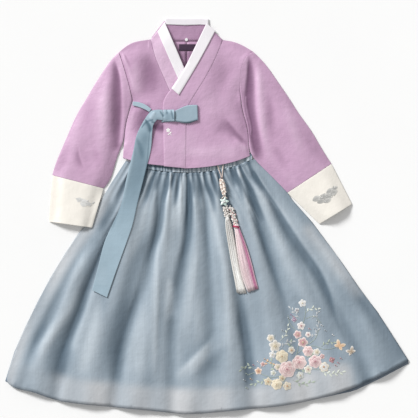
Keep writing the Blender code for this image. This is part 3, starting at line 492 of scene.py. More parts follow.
skirtLook = {
    "thick": 1.0, "pinch": 1.5, "shift": 0.04, "cut": 0.50, "hidden": 0.25, "longest": 11,
    "waist corner": (101.5, 131), "corner wide": 9, "fine": (16, 1.5), "broad": (160, 7.0),
    "right edge": [(101.5, 131), (138.5, 96.2), (182.6, 51.2), (239, -10.5)],
    "left edge": [(-187, 126.5), (-236, 50.6), (-285, -27.6), (-361, -144), (-442, -310), (-464, -379.5)],
    "hem": [(-464, -379.5), (-398, -405), (-338, -425), (-241.5, -436.5), (-131, -447), (-44.6, -455),
            (53, -447.6), (163, -437), (246, -422), (337, -394.5), (404, -364), (464, -333.5)],
    "lining hem": [(-440, -330), (-380, -352), (-300, -372), (-240, -381), (-120, -392), (-44, -396),
                   (60, -392), (129, -390), (214, -362), (318, -338), (341, -390), (346, -412)],
    "creases": [
        # line, height, half width, steeper side, fade in, fade out
        ([(-176, 100), (-201, -11), (-247, -89), (-276, -161), (-293, -220), (-316, -272), (-345, -338),
          (-360, -410)], -3.4, 17, 0.35, 0.35, 0.25),
        ([(-300, -120), (-338, -193), (-365, -246), (-400, -297), (-436, -360)], -2.0, 15, 0.3, 0.5, 0.4),
        ([(-262, -100), (-292, -159), (-319, -220), (-381, -312), (-412, -390)], 2.0, 13, 0.0, 0.4, 0.4),
        ([(-92, 92), (-100, 22), (-110, -34), (-146, -109), (-165, -181), (-188, -246), (-205, -312),
          (-216, -400)], -3.4, 19, 0.35, 0.12, 0.2),
        ([(-44, 90), (-41, 29), (-44, -50), (-66, -135), (-78, -213), (-84, -279), (-78, -380)],
         -2.6, 13, -0.2, 0.05, 0.6),
        ([(20, -262), (5, -292), (-25, -327), (-80, -378)], 2.4, 15, -0.5, 0.5, 0.5),
        ([(60, -290), (30, -315), (0, -346), (-50, -388)], -1.2, 22, -0.3, 0.5, 0.5),
        ([(-108, 0), (-113, -60), (-116, -214), (-123, -400)], 1.6, 9, 0.2, 0.4, 0.3),
        ([(-22, -20), (-24, -90), (-41, -214), (-44, -330)], 1.6, 12, 0.2, 0.4, 0.4),
        ([(-6, 80), (-3, -21), (10, -150)], -1.6, 9, 0.2, 0.1, 0.6),
        ([(70, -120), (79, -190), (82, -246), (92, -312), (98, -420)], -3.0, 17, -0.35, 0.5, 0.25),
        ([(72, 100), (92, 48), (115, -1), (141, -83), (167, -161), (187, -213), (206, -290)],
         -3.4, 14, -0.35, 0.05, 0.6),
        ([(100, 112), (141, 48), (167, 6), (213, -66), (255, -128), (278, -181), (298, -246), (340, -330)],
         -3.2, 13, 0.45, 0.05, 0.45),
        ([(120, 20), (138, -17), (180, -109), (226, -220)], 1.8, 15, 0.0, 0.4, 0.5),
        ([(230, -10), (262, -50), (310, -135), (345, -200)], 1.5, 20, 0.0, 0.4, 0.5),
        ([(300, -110), (356, -193), (420, -280)], -0.8, 12, 0.4, 0.5, 0.5),
        ([(-25, -120), (-25, -216), (-21, -320)], 1.0, 12, 0.0, 0.5, 0.5),
        ([(18, 20), (30, -60), (48, -147), (53, -360)], 1.5, 14, 0.0, 0.4, 0.4),
        ([(-140, -60), (-156, -150), (-170, -240)], 1.2, 14, 0.0, 0.5, 0.5),
        ([(-240, -180), (-262, -285), (-290, -380)], 1.4, 16, 0.0, 0.5, 0.4),
    ],
    "pleats": [
        # short ones that leave the gathers
        ([(-176, 104), (-196, 62), (-222, 18)], -1.8, 6.5, 0.0, 0.02, 0.6),
        ([(-136, 112), (-150, 60), (-164, 20)], -2.2, 6.5, 0.2, 0.02, 0.5),
        ([(-115, 107), (-132, 62), (-146, 14)], -2.2, 6.5, 0.3, 0.02, 0.6),
        ([(-103, 105), (-112, 76), (-118, 50)], -1.5, 5.2, 0.3, 0.02, 0.5),
        ([(-88, 106), (-91, 64), (-101, 26)], -2.6, 6.5, 0.3, 0.02, 0.6),
        ([(-72, 104), (-79, 78), (-84, 50)], -2.0, 5.2, 0.0, 0.02, 0.5),
        ([(-61, 103), (-67, 70), (-76, 4)], -1.7, 5.2, 0.2, 0.02, 0.6),
        ([(-47, 102), (-43, 66), (-44, 10), (-52, -50)], -2.4, 7, -0.35, 0.02, 0.6),
        ([(-33, 101), (-31, 70), (-29, 36)], -1.5, 5.2, 0.0, 0.02, 0.5),
        ([(-23, 102), (-15, 66), (-12, 20)], -2.4, 6.5, 0.0, 0.02, 0.6),
        ([(-8, 103), (-1, 72), (12, 40), (20, -10)], -2.2, 6.5, 0.0, 0.02, 0.6),
        ([(9, 105), (18, 67), (26, 34)], -2.4, 6.5, 0.0, 0.02, 0.6),
        ([(24, 108), (32, 62), (46, -30)], -2.2, 7.8, -0.3, 0.02, 0.7),
        ([(53, 116), (61, 92), (70, 62)], -2.6, 5.9, 0.0, 0.02, 0.5),
        ([(62, 116), (72, 84), (90, 20)], -1.8, 5.9, 0.0, 0.02, 0.6),
        ([(74, 120), (90, 82), (112, 34), (140, -30)], -2.6, 7.8, 0.3, 0.02, 0.6),
        ([(92, 124), (114, 84), (140, 46)], -2.0, 6.5, 0.0, 0.02, 0.6),
        ([(-126, 108), (-142, 60), (-160, 10)], 1.3, 5.2, 0.0, 0.05, 0.6),
        ([(-82, 104), (-86, 56), (-92, 10)], 1.3, 6.5, 0.0, 0.05, 0.6),
        ([(-54, 102), (-58, 52), (-68, -20)], 1.3, 5.2, 0.0, 0.05, 0.7),
        ([(-15, 101), (-8, 60), (-2, 0)], 1.2, 5.2, 0.0, 0.05, 0.6),
        ([(68, 118), (84, 70), (108, 0)], 1.4, 6.5, 0.0, 0.05, 0.7),
    ],
    "shadeAndHighlight": [
        # line, tint, half width, steeper side, fade in, fade out; a tint below zero paints shade, above
        # zero a highlight
        ([(-187, 125), (-150, 109), (-100, 100), (-45, 97), (10, 101), (60, 110), (101, 128)],
         -0.55, 4, 0.0, 0.001, 0.001),
        ([(-222, 50), (-234, 8), (-252, -44)], -1.3, 14, 0.0, 0.3, 0.4),
        ([(-68, 50), (-66, 4), (-74, -44)], 0.7, 12, 0.0, 0.3, 0.4),
        ([(-90, -130), (-82, -190), (-80, -250)], 0.85, 13, 0.0, 0.3, 0.3),
        ([(-127, 56), (-145, -2), (-167, -68), (-190, -140)], 0.55, 14, 0.0, 0.2, 0.4),
        ([(-88, 72), (-85, 20), (-90, -40), (-98, -120), (-104, -180)], 0.5, 13, -0.3, 0.15, 0.4),
        ([(-97, 94), (-99, 50), (-106, 0)], -0.6, 4, 0.0, 0.1, 0.4),
        ([(-41, 82), (-40, 20), (-42, -40), (-56, -110)], -1.0, 8.5, 0.0, 0.1, 0.4),
        ([(-176, -120), (-200, -240), (-212, -320), (-218, -388)], -0.5, 17, 0.0, 0.45, 0.1),
        ([(-240, -160), (-262, -250), (-282, -330), (-292, -388)], 0.55, 17, 0.0, 0.3, 0.2),
        ([(-140, -180), (-154, -270), (-160, -376)], 0.35, 18, 0.0, 0.3, 0.2),
        ([(-366, -230), (-386, -290), (-402, -350)], -0.5, 13, 0.0, 0.3, 0.3),
        ([(-62, 78), (-58, 30), (-60, -20)], 0.4, 8, 0.0, 0.2, 0.5),
        ([(4, 66), (12, 30), (24, -46), (42, -116)], 0.42, 11, 0.0, 0.2, 0.5),
        ([(96, 90), (122, 40), (160, -30), (196, -110)], 0.3, 10, 0.0, 0.2, 0.4),
        ([(-308, -280), (-336, -350), (-348, -384)], -0.95, 22, 0.0, 0.4, 0.2),
        ([(230, -30), (276, -84), (330, -158)], 0.4, 15, 0.0, 0.3, 0.3),
        ([(270, -100), (330, -190), (400, -280), (446, -336)], -0.5, 54, 0.0, 0.35, 0.05),
        ([(290, -230), (320, -330), (350, -380)], -0.16, 40, 0.0, 0.3, 0.2),
        ([(-6, -330), (-20, -390)], 0.25, 24, 0.0, 0.3, 0.3),
        ([(-214, 40), (-250, -20), (-290, -110)], 0.22, 24, 0.0, 0.3, 0.5),
        ([(-400, -250), (-446, -350)], 0.16, 18, 0.0, 0.4, 0.1),
        ([(-60, -60), (-110, -230), (-140, -390)], 0.14, 26, 0.0, 0.4, 0.3),
        ([(96, 60), (150, -60), (190, -170)], -0.15, 20, 0.0, 0.3, 0.5),
        ([(150, 30), (230, -80), (300, -200)], -0.14, 18, 0.0, 0.3, 0.5),
    ],
}


def makeSkirtFront(look):
    shape = welded("skirt_front")
    hidden = [face for face in shape.faces if face.normal.z < look["hidden"]]
    bmesh.ops.delete(shape, geom=hidden, context="FACES")
    piece = smoothed(pieceFrom(shape, "skirtFront", organza), rimCorners="PRESERVE_CORNERS")
    shape = bmesh.new()
    shape.from_mesh(piece.data)
    lengthwise = [edge for edge in shape.edges if edge.calc_length() > look["longest"] * mm]
    bmesh.ops.subdivide_edges(shape, edges=lengthwise, cuts=1, use_grid_fill=True)
    shape.to_mesh(piece.data)
    shape.free()
    smoothed(piece, rimCorners="PRESERVE_CORNERS")

    places = points(piece)
    flat = places[:, :2] / mm
    edges, count = neighbours(piece)
    heights = places[:, 2] / mm
    pinched = heights - calmed(heights, edges, count, 14)
    heights += look["pinch"] * pinched * rise(-120, 60, flat[:, 1])
    pleats = creaseHeights(flat, look["pleats"])
    raised = creaseHeights(flat, look["creases"]) + pleats
    free = rise(3.0, 7.0, heights)
    heights = np.maximum(heights + raised * free, np.minimum(heights, 3.2))
    places[:, 2] = heights * mm
    tone = creaseHeights(flat, look["shadeAndHighlight"])
    touching = rise(34, 54, flat[:, 1]) * rise(134, 122, flat[:, 1])
    fromRight = follow(flat, curved(look["right edge"]))[0]
    places[:, 0] += 3.6 * mm * touching * (1 - rise(0, 22, fromRight))
    places[:, 1] += 1.6 * mm * touching * (1 - rise(0, 22, fromRight))
    gap = flat - look["waist corner"]
    corner = np.exp(-((gap[:, 0] ** 2 + gap[:, 1] ** 2) / look["corner wide"] ** 2))
    places[:, 0] += 7.0 * mm * corner
    reshape(piece, places)
    # painted shading: shade in the hollows of the gathers, pleats and creases and highlight on their tops,
    # plus the listed painted shade and highlight in tone
    gathers = 0.45 * np.clip(pinched, -1, 1) * rise(-100, 70, flat[:, 1])
    folds = raised / 5.5 + pleats * 0.6 + gathers + tone
    paintShading(piece, folds, look["fine"], look["broad"], look["shift"])

    fromHem = follow(flat, curved(look["hem"]))[0]
    past, side = follow(flat, curved(look["lining hem"]))[:2]
    sheer = rise(-12, 14, -past * side) * (0.2 + 0.8 * rise(-400, -240, flat[:, 0]))
    fromEdge = follow(flat, curved(look["left edge"]))[0]
    sheer = np.maximum(sheer, (1 - rise(8, 34, fromEdge)) * rise(160, -40, flat[:, 1]) * 0.9)
    paleSide = np.exp(-((follow(flat, [(236, -34), (282, -88), (344, -172)])[0] / 16) ** 2))
    sheer = np.maximum(sheer, 0.6 * paleSide)
    patches = 0.62 + 0.34 * np.sin(flat[:, 0] * 0.047 + 1) * np.sin(flat[:, 0] * 0.021)
    patches += 0.2 * rise(200, 290, flat[:, 0])
    setFact(piece, "sheer", sheer * patches)
    line = np.exp(-(((fromHem - 6.0) / 1.1) ** 2)) * 0.4 + (1 - rise(0.5, 2.0, fromHem)) * 0.7
    setFact(piece, "hemLine", line)
    wall = piece.modifiers.new("wall", "SOLIDIFY")
    wall.thickness = look["thick"] * mm
    wall.offset = -1
    return standFor(piece, "skirt_organza", "skirt_front")


skirtFront = makeSkirtFront(skirtLook)
print("skirt front made,", len(skirtFront.data.vertices), "points")


# the skirt's back, lining and waistband

def makeSkirtBack():
    back = flatWall("skirt_back", "skirtBack", liningCloth, 9)
    flat = points(back)[:, :2] / mm
    flat[:, 0] = -flat[:, 0] - 20
    # painted shading: the front's creases mirrored, and the whole back painted darker, as it lies in shade
    # under the front
    setFact(back, "paintedShading", np.clip(creaseHeights(flat, skirtLook["creases"]) / 6 - 0.45, -1, 1))
    standFor(back, "skirt_organza", "skirt_back")
    lining = flatWall("skirt_lining", "skirtLining", liningCloth, 24)
    setFact(lining, "paintedShading", np.zeros(len(lining.data.vertices)))
    standFor(lining, "skirt_lining", "skirt_lining")
    bands = []
    for nodeName, name in (("waistband_front", "waistFront"), ("waistband_back", "waistBack")):
        front = name == "waistFront"
        band = flatWall(nodeName, name, organza, 1.6 if front else 12)
        places = points(band)
        x, y = places[:, 0] / mm, places[:, 1] / mm
        tuck = np.sin(x * 0.80 + 2.2 * np.sin(x * 0.13) + 0.05 * y) * (0.6 + 0.4 * np.sin(x * 0.31 + 1))
        # painted shade: the back band lies a little darker all over
        paintedShading = np.full(len(x), -0.3)
        if front:  # it reaches the sleeve, in the corner under the jacket's side
            places[:, 2] += 0.6 * mm * tuck * rise(3.0, 4.0, places[:, 2] / mm)
            places[:, 2] += 1.9 * mm * rise(-165, -130, x) * (1 - rise(40, 86, x)) * (1 - rise(116, 130, y))
            places[:, :2] += mm * np.outer(rise(60, 92, x) * (1 - rise(136, 148, y)), (14, 4.5))
            # painted shadow along the jacket's hem and in the corner by the sleeve, painted shade and
            # highlight across the tucks, and painted shade growing towards the left
            hemShade = [(-140, 116), (-90, 110.8), (-48, 109.3), (18, 116.8), (60, 127.2), (92, 138.2)]
            shade = np.exp(-((follow(np.stack([x, y], 1), hemShade)[0] / 1.9) ** 2))
            shade = np.maximum(shade, rise(132, 136, y) * rise(82, 88, x))
            paintedShading = tuck * 1.1 + 0.45 - 1.5 * shade - 0.7 * rise(-62, -104, x)
        reshape(band, places)
        setFact(band, "paintedShading", np.clip(paintedShading, -1, 1))
        bands.append(standFor(band, "skirt_organza", nodeName))
    return bands


waistFront, waistBack = makeSkirtBack()
print("skirt back, lining and waistband made")


# the jacket's panels

bodyCreases = [
    ([(-202, 375), (-186, 324), (-168, 262)], -1.2, 4.5, 0.3, 0.1, 0.4),
    ([(-195, 377), (-177, 324), (-164, 268)], 1.0, 5, 0.0, 0.1, 0.4),
    ([(-189, 372), (-172, 335)], -0.7, 3.5, 0.0, 0.2, 0.5),
    ([(-144, 384), (-130, 340), (-124, 300), (-134, 256)], -1.8, 22, 0.3, 0.45, 0.45),
    ([(-168, 366), (-162, 320), (-158, 262)], 1.5, 12, 0.0, 0.4, 0.4),
    ([(-164, 256), (-178, 202), (-186, 142)], 1.2, 9, 0.0, 0.3, 0.4),
    ([(-130, 262), (-142, 222), (-160, 180)], -1.8, 15, 0.2, 0.2, 0.5),
    ([(-126, 400), (-121, 378)], -0.9, 2.6, 0.0, 0.1, 0.5),
    ([(-134, 402), (-132, 380)], 0.7, 2.6, 0.0, 0.1, 0.5),
    ([(48, 366), (40, 320), (30, 276)], -0.7, 26, 0.0, 0.5, 0.5),
    ([(10, 184), (40, 206), (66, 214)], -0.7, 13, 0.0, 0.5, 0.5),
    ([(40, 226), (67, 189), (98, 158)], -1.3, 8, 0.4, 0.4, 0.3),
    ([(54, 190), (76, 166), (98, 144)], 0.9, 7, 0.0, 0.4, 0.3),
    ([(74, 290), (85, 225), (94, 165)], -1.1, 10, 0.0, 0.4, 0.4),
    ([(-70, 152), (10, 146), (84, 154)], 0.7, 14, 0.0, 0.4, 0.4),
    ([(-20, 310), (6, 256), (0, 195)], 0.9, 28, 0.0, 0.5, 0.5),
    ([(70, 350), (64, 300), (62, 250)], 0.8, 14, 0.0, 0.5, 0.5),
]
leftSleeveCreases = [
    ([(96, 378), (97, 330), (94, 280), (96, 240), (106, 186), (114, 147), (128, 105)],
     -3.0, 13, -0.4, 0.15, 0.3),
    ([(118, 368), (120, 267), (134, 161), (150, 110)], 1.6, 11, 0.0, 0.3, 0.4),
    ([(140, 300), (146, 240), (150, 160)], -1.0, 11, 0.0, 0.5, 0.5),
    ([(168, 290), (200, 200), (222, 140)], 0.9, 13, 0.0, 0.5, 0.5),
    ([(146, 176), (170, 130), (192, 90)], -0.8, 12, 0.0, 0.5, 0.5),
    ([(196, 230), (226, 170), (256, 110)], -0.5, 14, 0.0, 0.5, 0.5),
]
rightSleeveCreases = [
    ([(-216, 368), (-204, 320), (-201, 260), (-203, 200), (-210, 130)], -3.0, 13, 0.5, 0.2, 0.4),
    ([(-226, 330), (-234, 250), (-240, 140)], 1.5, 14, 0.0, 0.4, 0.5),
    ([(-296, 166), (-294, 134), (-280, 100)], -1.1, 7, 0.6, 0.5, 0.5),
    ([(-266, 168), (-250, 132), (-246, 96)], -0.5, 9, 0.0, 0.5, 0.5),
    ([(-312, 168), (-328, 130), (-332, 100)], -0.6, 13, 0.0, 0.5, 0.5),
    ([(-254, 280), (-272, 230), (-296, 176)], -0.7, 15, 0.0, 0.5, 0.5),
    ([(-270, 260), (-300, 200), (-318, 140)], 0.8, 12, 0.0, 0.5, 0.5),
]


def crumple(piece, creases, shadeAndHighlight=(), onlyAbove=None, lowest=1.5, depth=3.6, shift=0.0, fine=(14, 2.4),
            broad=(90, 7.0)):
    places = points(piece)
    flat = places[:, :2] / mm
    raised = creaseHeights(flat, creases)
    if onlyAbove is not None:  # a tube's lower wall stays on the floor
        raised *= rise(onlyAbove, onlyAbove + 2.0, places[:, 2] / mm)
    places[:, 2] = np.maximum(places[:, 2] + raised * mm, np.minimum(places[:, 2], lowest * mm))
    reshape(piece, places)
    # painted shade in the creases and hollows and painted highlight on the ridges, from crease heights and
    # the listed lines
    paintShading(piece, raised / depth + creaseHeights(flat, shadeAndHighlight), fine, broad, shift)


# painted shade down the right cuff
cuffPaintedShade = [([(-348, 96), (-356, 40), (-362, -12)], -0.45, 17, 0.0, 0.02, 0.02)]
jacketShadeAndHighlight = [
    # line, tint, half width, steeper side, fade in, fade out; a tint below zero paints shade, above zero a
    # highlight
    ([(-80, 146), (20, 140), (100, 156)], 0.22, 20, 0.0, 0.3, 0.3),
    ([(-140, 190), (-176, 140)], 0.2, 20, 0.0, 0.4, 0.4),
    ([(-134, 390), (-122, 330), (-130, 260)], -0.30, 24, 0.2, 0.4, 0.4),
    ([(-164, 366), (-160, 270)], 0.22, 14, 0.0, 0.4, 0.4),
    ([(-138, 260), (-156, 176)], -0.30, 18, 0.0, 0.3, 0.5),
    ([(22, 226), (56, 200), (98, 154)], -0.42, 18, 0.0, 0.4, 0.4),
    ([(78, 300), (90, 200)], -0.16, 16, 0.0, 0.4, 0.4),
    ([(98, 370), (96, 300), (96, 250), (104, 190), (118, 124)], -1.0, 12, -0.3, 0.25, 0.15),
    ([(124, 366), (122, 260), (140, 150)], 0.2, 14, 0.0, 0.3, 0.4),
    ([(190, 200), (226, 130)], 0.15, 18, 0.0, 0.4, 0.4),
    ([(230, 210), (276, 110)], -0.18, 18, 0.0, 0.4, 0.2),
    ([(-212, 360), (-204, 280), (-206, 140)], -0.6, 13, 0.5, 0.2, 0.12),
    ([(-238, 320), (-246, 180), (-252, 140)], 0.25, 20, 0.0, 0.4, 0.4),
    ([(-290, 160), (-280, 96)], -0.14, 20, 0.0, 0.4, 0.3),
    ([(-330, 150), (-346, 96)], -0.14, 14, 0.0, 0.4, 0.2),
    ([(-203, 376), (-190, 336), (-179, 297), (-171.8, 263.4), (-182.9, 226.3), (-190.9, 150)],
     0.3, 2.6, 0.0, 0.01, 0.01),
    ([(-40, 210), (-36, 170), (-50, 130)], 0.22, 22, 0.0, 0.3, 0.3),
    # painted shadow of the ribbon on the front
    ([(-127, 206), (-96, 202)], -1.6, 9, 0.0, 0.05, 0.15),
    ([(-122, 200), (-126, 160), (-134, 136)], -0.6, 8, 0.0, 0.1, 0.5),
]
# painted shade and highlight on the back panels, and a darker line along the centre-back seam
backShadeHighlightAndSeam = [
    ([(-190, 350), (-120, 240), (-90, 150)], 0.25, 22, 0.0, 0.3, 0.3),
    ([(96, 350), (40, 240), (20, 150)], 0.25, 22, 0.0, 0.3, 0.3),
    ([(-160, 330), (-130, 200)], -0.25, 14, 0.0, 0.3, 0.3),
    ([(70, 320), (50, 190)], -0.25, 14, 0.0, 0.3, 0.3),
    ([(-100, 380), (-47, 366), (10, 380)], -0.2, 12, 0.0, 0.3, 0.3),
    ([(-47, 398), (-47, 120)], -0.25, 3, 0.0, 0.05, 0.05),
]


armholes = {
    "left": [(105.8, 378), (90, 367), (79, 343), (76, 312), (75.9, 282.9), (82, 241.5), (94.3, 197.8),
             (95.5, 160), (99.4, 142)],
    "right": [(-203, 376), (-190, 336), (-179, 297), (-171.8, 263.4), (-182.9, 226.3), (-188, 204),
              (-190.9, 170.9)],
}


def levelSeam(sleeve, front, line, inward):
    # along the armhole the sleeve's upper wall and the front meet at one height
    spots = curved(line, 4)
    near, off = {}, {}
    for piece, way in ((front, inward), (sleeve, -inward)):
        height = surfaceOf(piece)
        near[piece] = np.array([max(height(x + way * gap, y) for gap in (1.2, 2.2)) for x, y in spots])
        off[piece] = np.array([height(x + way * 7, y) for x, y in spots])
    meet = 0.5 * (off[front] + near[sleeve])
    for piece, reach, inset in ((front, 9, 0.0), (sleeve, 20, 0.45)):
        step = np.clip(meet - near[piece], -2.0, 2.6)
        for _ in range(2):
            step[1:-1] = 0.5 * step[1:-1] + 0.25 * (step[:-2] + step[2:])
        places = points(piece)
        far, _, along = follow(places[:, :2] / mm, spots)
        upper = rise(1.2, 2.4, places[:, 2] / mm)
        lift = np.interp(along, np.linspace(0, 1, len(step)), step) * (1 - rise(0, reach, far))
        places[:, 2] += lift * upper * mm
        places[:, 0] += inset * inward * mm * (1 - rise(0, 6, far))
        reshape(piece, places)


def makeJacket():
    made = {}
    for nodeName, name, shift in (
        ("jacket_front_left", "frontLeft", 0.05), ("jacket_front_right", "frontRight", -0.05),
        ("overlap_panel", "overlapPanel", 0.12), ("collar_left", "collarLeft", 0.10),
        ("collar_right", "collarRight", 0.62),
    ):
        piece = softWall(nodeName, name, silk, 3 if "front" in nodeName else 2)
        # painted shade in the creases and highlight on the ridges; all but the collars also take the
        # jacket's listed painted shade and highlight
        shadeAndHighlight = [] if "collar" in name else jacketShadeAndHighlight
        crumple(piece, bodyCreases, shadeAndHighlight, shift=shift)
        made[name] = standFor(piece, "lilac_silk", nodeName)
    for nodeName, name in (
        ("jacket_back_left", "backLeft"), ("jacket_back_right", "backRight"), ("collar_back", "collarBack"),
    ):
        piece = flatWall(nodeName, name, silk, 7)
        # painted shading: the back panels' listed shade and highlight, and the whole back a little darker
        setFact(piece, "paintedShading", creaseHeights(points(piece)[:, :2] / mm, backShadeHighlightAndSeam) - 0.3)
        made[name] = standFor(piece, "lilac_silk", nodeName)
    for side, creases in (("left", leftSleeveCreases), ("right", rightSleeveCreases)):
        name = f"sleeve{side.title()}"
        piece = softWall(f"sleeve_{side}", name, silk, 3, 0.95)
        levelSeam(piece, made[f"front{side.title()}"], armholes[side], -1 if side == "left" else 1)
        # painted shade and highlight on the sleeves from their creases and the jacket's listed lines
        crumple(piece, creases, jacketShadeAndHighlight, onlyAbove=2.6, shift=0.1 if side == "right" else 0.02)
        made[name] = standFor(piece, "lilac_silk", f"sleeve_{side}")
        name = f"cuff{side.title()}"
        piece = softWall(f"cuff_{side}", name, creamCloth, 3)
        # painted shade in the cuff's hollows and highlight on its rises, with painted shade down the right
        # cuff
        crumple(piece, [], cuffPaintedShade, onlyAbove=2.6, fine=(14, 4.0), broad=(90, 16.0))
        made[name] = standFor(piece, "cream_cuff", f"cuff_{side}")
    return made


jacket = makeJacket()
print("jacket panels made")


# white collar strip, label and press stud

stripReach = (5.0, -1.6)


def makeNeck():
    for side in ("left", "right"):
        name = f"strip{side.title()}"
        piece = softWall(f"collar_strip_{side}", name, whiteCloth, 2)
        # painted shade in the strip's hollows and highlight on its rises
        crumple(piece, [], fine=(14, 6.0), broad=(60, 20.0))
        standFor(piece, "white_strip", f"collar_strip_{side}")
    piece = flatWall("collar_strip_back", "stripBack", whiteCloth, 3)
    places = points(piece)  # its end reaches the side strip
    places[:, :2] += mm * np.outer(rise(-16, -1, places[:, 0] / mm), stripReach)
    reshape(piece, places)
    # the back strip is painted a little darker all over
    setFact(piece, "paintedShading", np.full(len(piece.data.vertices), -0.1))
    standFor(piece, "white_strip", "collar_strip_back")
    piece = flatWall("neck_label", "neckLabel", labelCloth, 3)
    setFact(piece, "paintedShading", np.zeros(len(piece.data.vertices)))
    standFor(piece, "dark_label", "neck_label")
    piece = softWall("neck_snap", "neckStud", studPlastic, 2)
    standFor(piece, "white_snap", "neck_snap")


makeNeck()
print("collar strip, label and stud made")


# the tied ribbon

ribbonCreases = [
    ([(-82, 243), (-76, 220)], -1.2, 2.6, 0.0, 0.1, 0.1),
    ([(-93, 246), (-90, 230)], -0.9, 2.2, 0.0, 0.1, 0.4),
    ([(-108, 241), (-98, 226)], -1.2, 2.4, 0.0, 0.2, 0.2),
    ([(-143, 224), (-131, 206), (-128, 186)], -1.6, 3.5, 0.3, 0.2, 0.3),
    ([(-118, 240), (-132, 222)], 1.0, 5, 0.0, 0.2, 0.2),
    ([(-163, 184), (-150, 150), (-146, 120)], -0.7, 6, 0.0, 0.3, 0.4),
    ([(-166, 170), (-172, 130), (-184, 82), (-196, 20)], 0.8, 5, 0.0, 0.2, 0.3),
    ([(-190, 60), (-204, 10), (-222, -40)], -0.6, 4, 0.0, 0.3, 0.3),
]
# painted shade and highlight on the ribbon: painted shadows under the loop, at the knot and along the
# tail's right edge
ribbonShadeAndHighlight = [
    ([(-134, 206), (-148, 150), (-158, 90), (-186, 0), (-206, -60)], -0.8, 26, 0.2, 0.1, 0.6),
    ([(-131, 209), (-137, 129), (-146, 80), (-157.5, 34), (-171, -29), (-198.5, -108), (-227, -186)],
     -0.8, 2.2, 0.0, 0.05, 0.01),
    ([(-128, 216), (-104, 213), (-60, 211.5), (-40, 213), (-21, 220)], -1.5, 3.4, 0.0, 0.01, 0.01),
    ([(-142, 218), (-126, 194)], -0.8, 8, 0.0, 0.2, 0.2),
    ([(-151, 201), (-139, 216), (-122, 221)], -1.3, 2.2, 0.0, 0.1, 0.1),
    ([(-93, 240), (-88, 220)], -0.45, 8, 0.0, 0.1, 0.1),
    ([(-100, 219), (-120, 219)], -0.5, 5, 0.0, 0.2, 0.2),
    ([(-58, 236), (-30, 237)], 0.12, 14, 0.0, 0.2, 0.2),
    ([(-86, 240), (-80, 220)], -0.2, 6, 0.0, 0.2, 0.2),
    ([(-236, -110), (-244, -160)], 0.2, 14, 0.0, 0.3, 0.1),
]


def makeRibbon():
    for nodeName, name in (
        ("ribbon_loop", "ribbonLoop"), ("ribbon_knot", "ribbonKnot"), ("ribbon_tail", "ribbonTail"),
        ("ribbon_short", "ribbonShort"),
    ):
        piece = softWall(nodeName, name, ribbonCloth, 3 if name == "ribbonTail" else 2)
        if name == "ribbonLoop":  # its lower layer shows a little below the upper one
            places = points(piece)
            under = 1 - rise(-2.2, -1.2, (places[:, 2] - places[:, 2].max()) / mm)
            places[:, 1] -= 3.0 * mm * under * rise(-20, -40, places[:, 0] / mm)
            x, middle = places[:, 0] / mm, 230 + 0.17 * (places[:, 0] / mm + 72)
            narrow = 0.72 + 0.28 * rise(-78, -40, x)
            places[:, 1] = middle * mm + (places[:, 1] - middle * mm) * narrow
            reshape(piece, places)
        if name == "ribbonKnot":  # drawn tight round the loop's narrow end
            places = points(piece)
            places[:, 1] = 230.4 * mm + (places[:, 1] - 230.4 * mm) * 0.8
            reshape(piece, places)
        # painted shade in the ribbon's creases and highlight on its ridges
        crumple(piece, ribbonCreases, ribbonShadeAndHighlight, depth=1.8, fine=(10, 1.6), broad=(40, 5.0),
                shift=0.3 if name == "ribbonShort" else 0.0)
        standFor(piece, "blue_ribbon", nodeName)


makeRibbon()
print("ribbon made")


# the hanging ornament

def ringTube(shape, path, radii, sides=8, flat=1.0, turn=0.0):
    # a rod along the path, flatter than it is wide; its points and faces go into the shape
    rings = []
    for k, spot in enumerate(path):
        ahead = path[min(k + 1, len(path) - 1)] - path[max(k - 1, 0)]
        across = Vector((1, 0, 0))
        if ahead.xy.length > 1e-6:
            across = Vector((ahead.y, -ahead.x, 0)).normalized()
        upward = ahead.cross(across).normalized()
        upward = -upward if upward.z < 0 else upward
        ring = []
        for j in range(sides):
            angle = turn + math.tau * j / sides
            place = spot + across * math.cos(angle) * radii[k] + upward * math.sin(angle) * radii[k] * flat
            ring.append(shape.verts.new(place * mm))
        rings.append(ring)
    made = [shape.faces.new(rings[0]), shape.faces.new(rings[-1][::-1])]
    for upper, lower in zip(rings, rings[1:]):
        for j in range(sides):
            following = (j + 1) % sides
            made.append(shape.faces.new((upper[j], lower[j], lower[following], upper[following])))
    return made


def dyed(shape, faces, dye):
    layer = shape.verts.layers.float_color.get("dye") or shape.verts.layers.float_color.new("dye")
    for point in {point for face in faces for point in face.verts}:
        point[layer] = (*dye, 1.0)


def bead(shape, centre, size, squash=1.0, fine=1):
    made = bmesh.ops.create_icosphere(shape, subdivisions=fine, radius=size * mm)["verts"]
    for point in made:
        point.co = Vector((point.co.x, point.co.y, point.co.z * squash)) + Vector(centre) * mm
    return list({face for point in made for face in point.link_faces})


def outward(shape):
    bmesh.ops.recalc_face_normals(shape, faces=shape.faces[:])
    return shape


def along(line, count):
    # evenly spaced places on a rounded line
    bends = [Vector((*spot, 0)) for spot in curved(line, 8)]
    runs = [0.0]
    for a, b in zip(bends, bends[1:]):
        runs.append(runs[-1] + (b - a).length)
    found = []
    for k in range(count):
        want = runs[-1] * k / (count - 1)
        j = max(1, min(len(runs) - 1, sum(run < want for run in runs)))
        share = (want - runs[j - 1]) / max(runs[j] - runs[j - 1], 1e-9)
        found.append(bends[j - 1].lerp(bends[j], share))
    return found


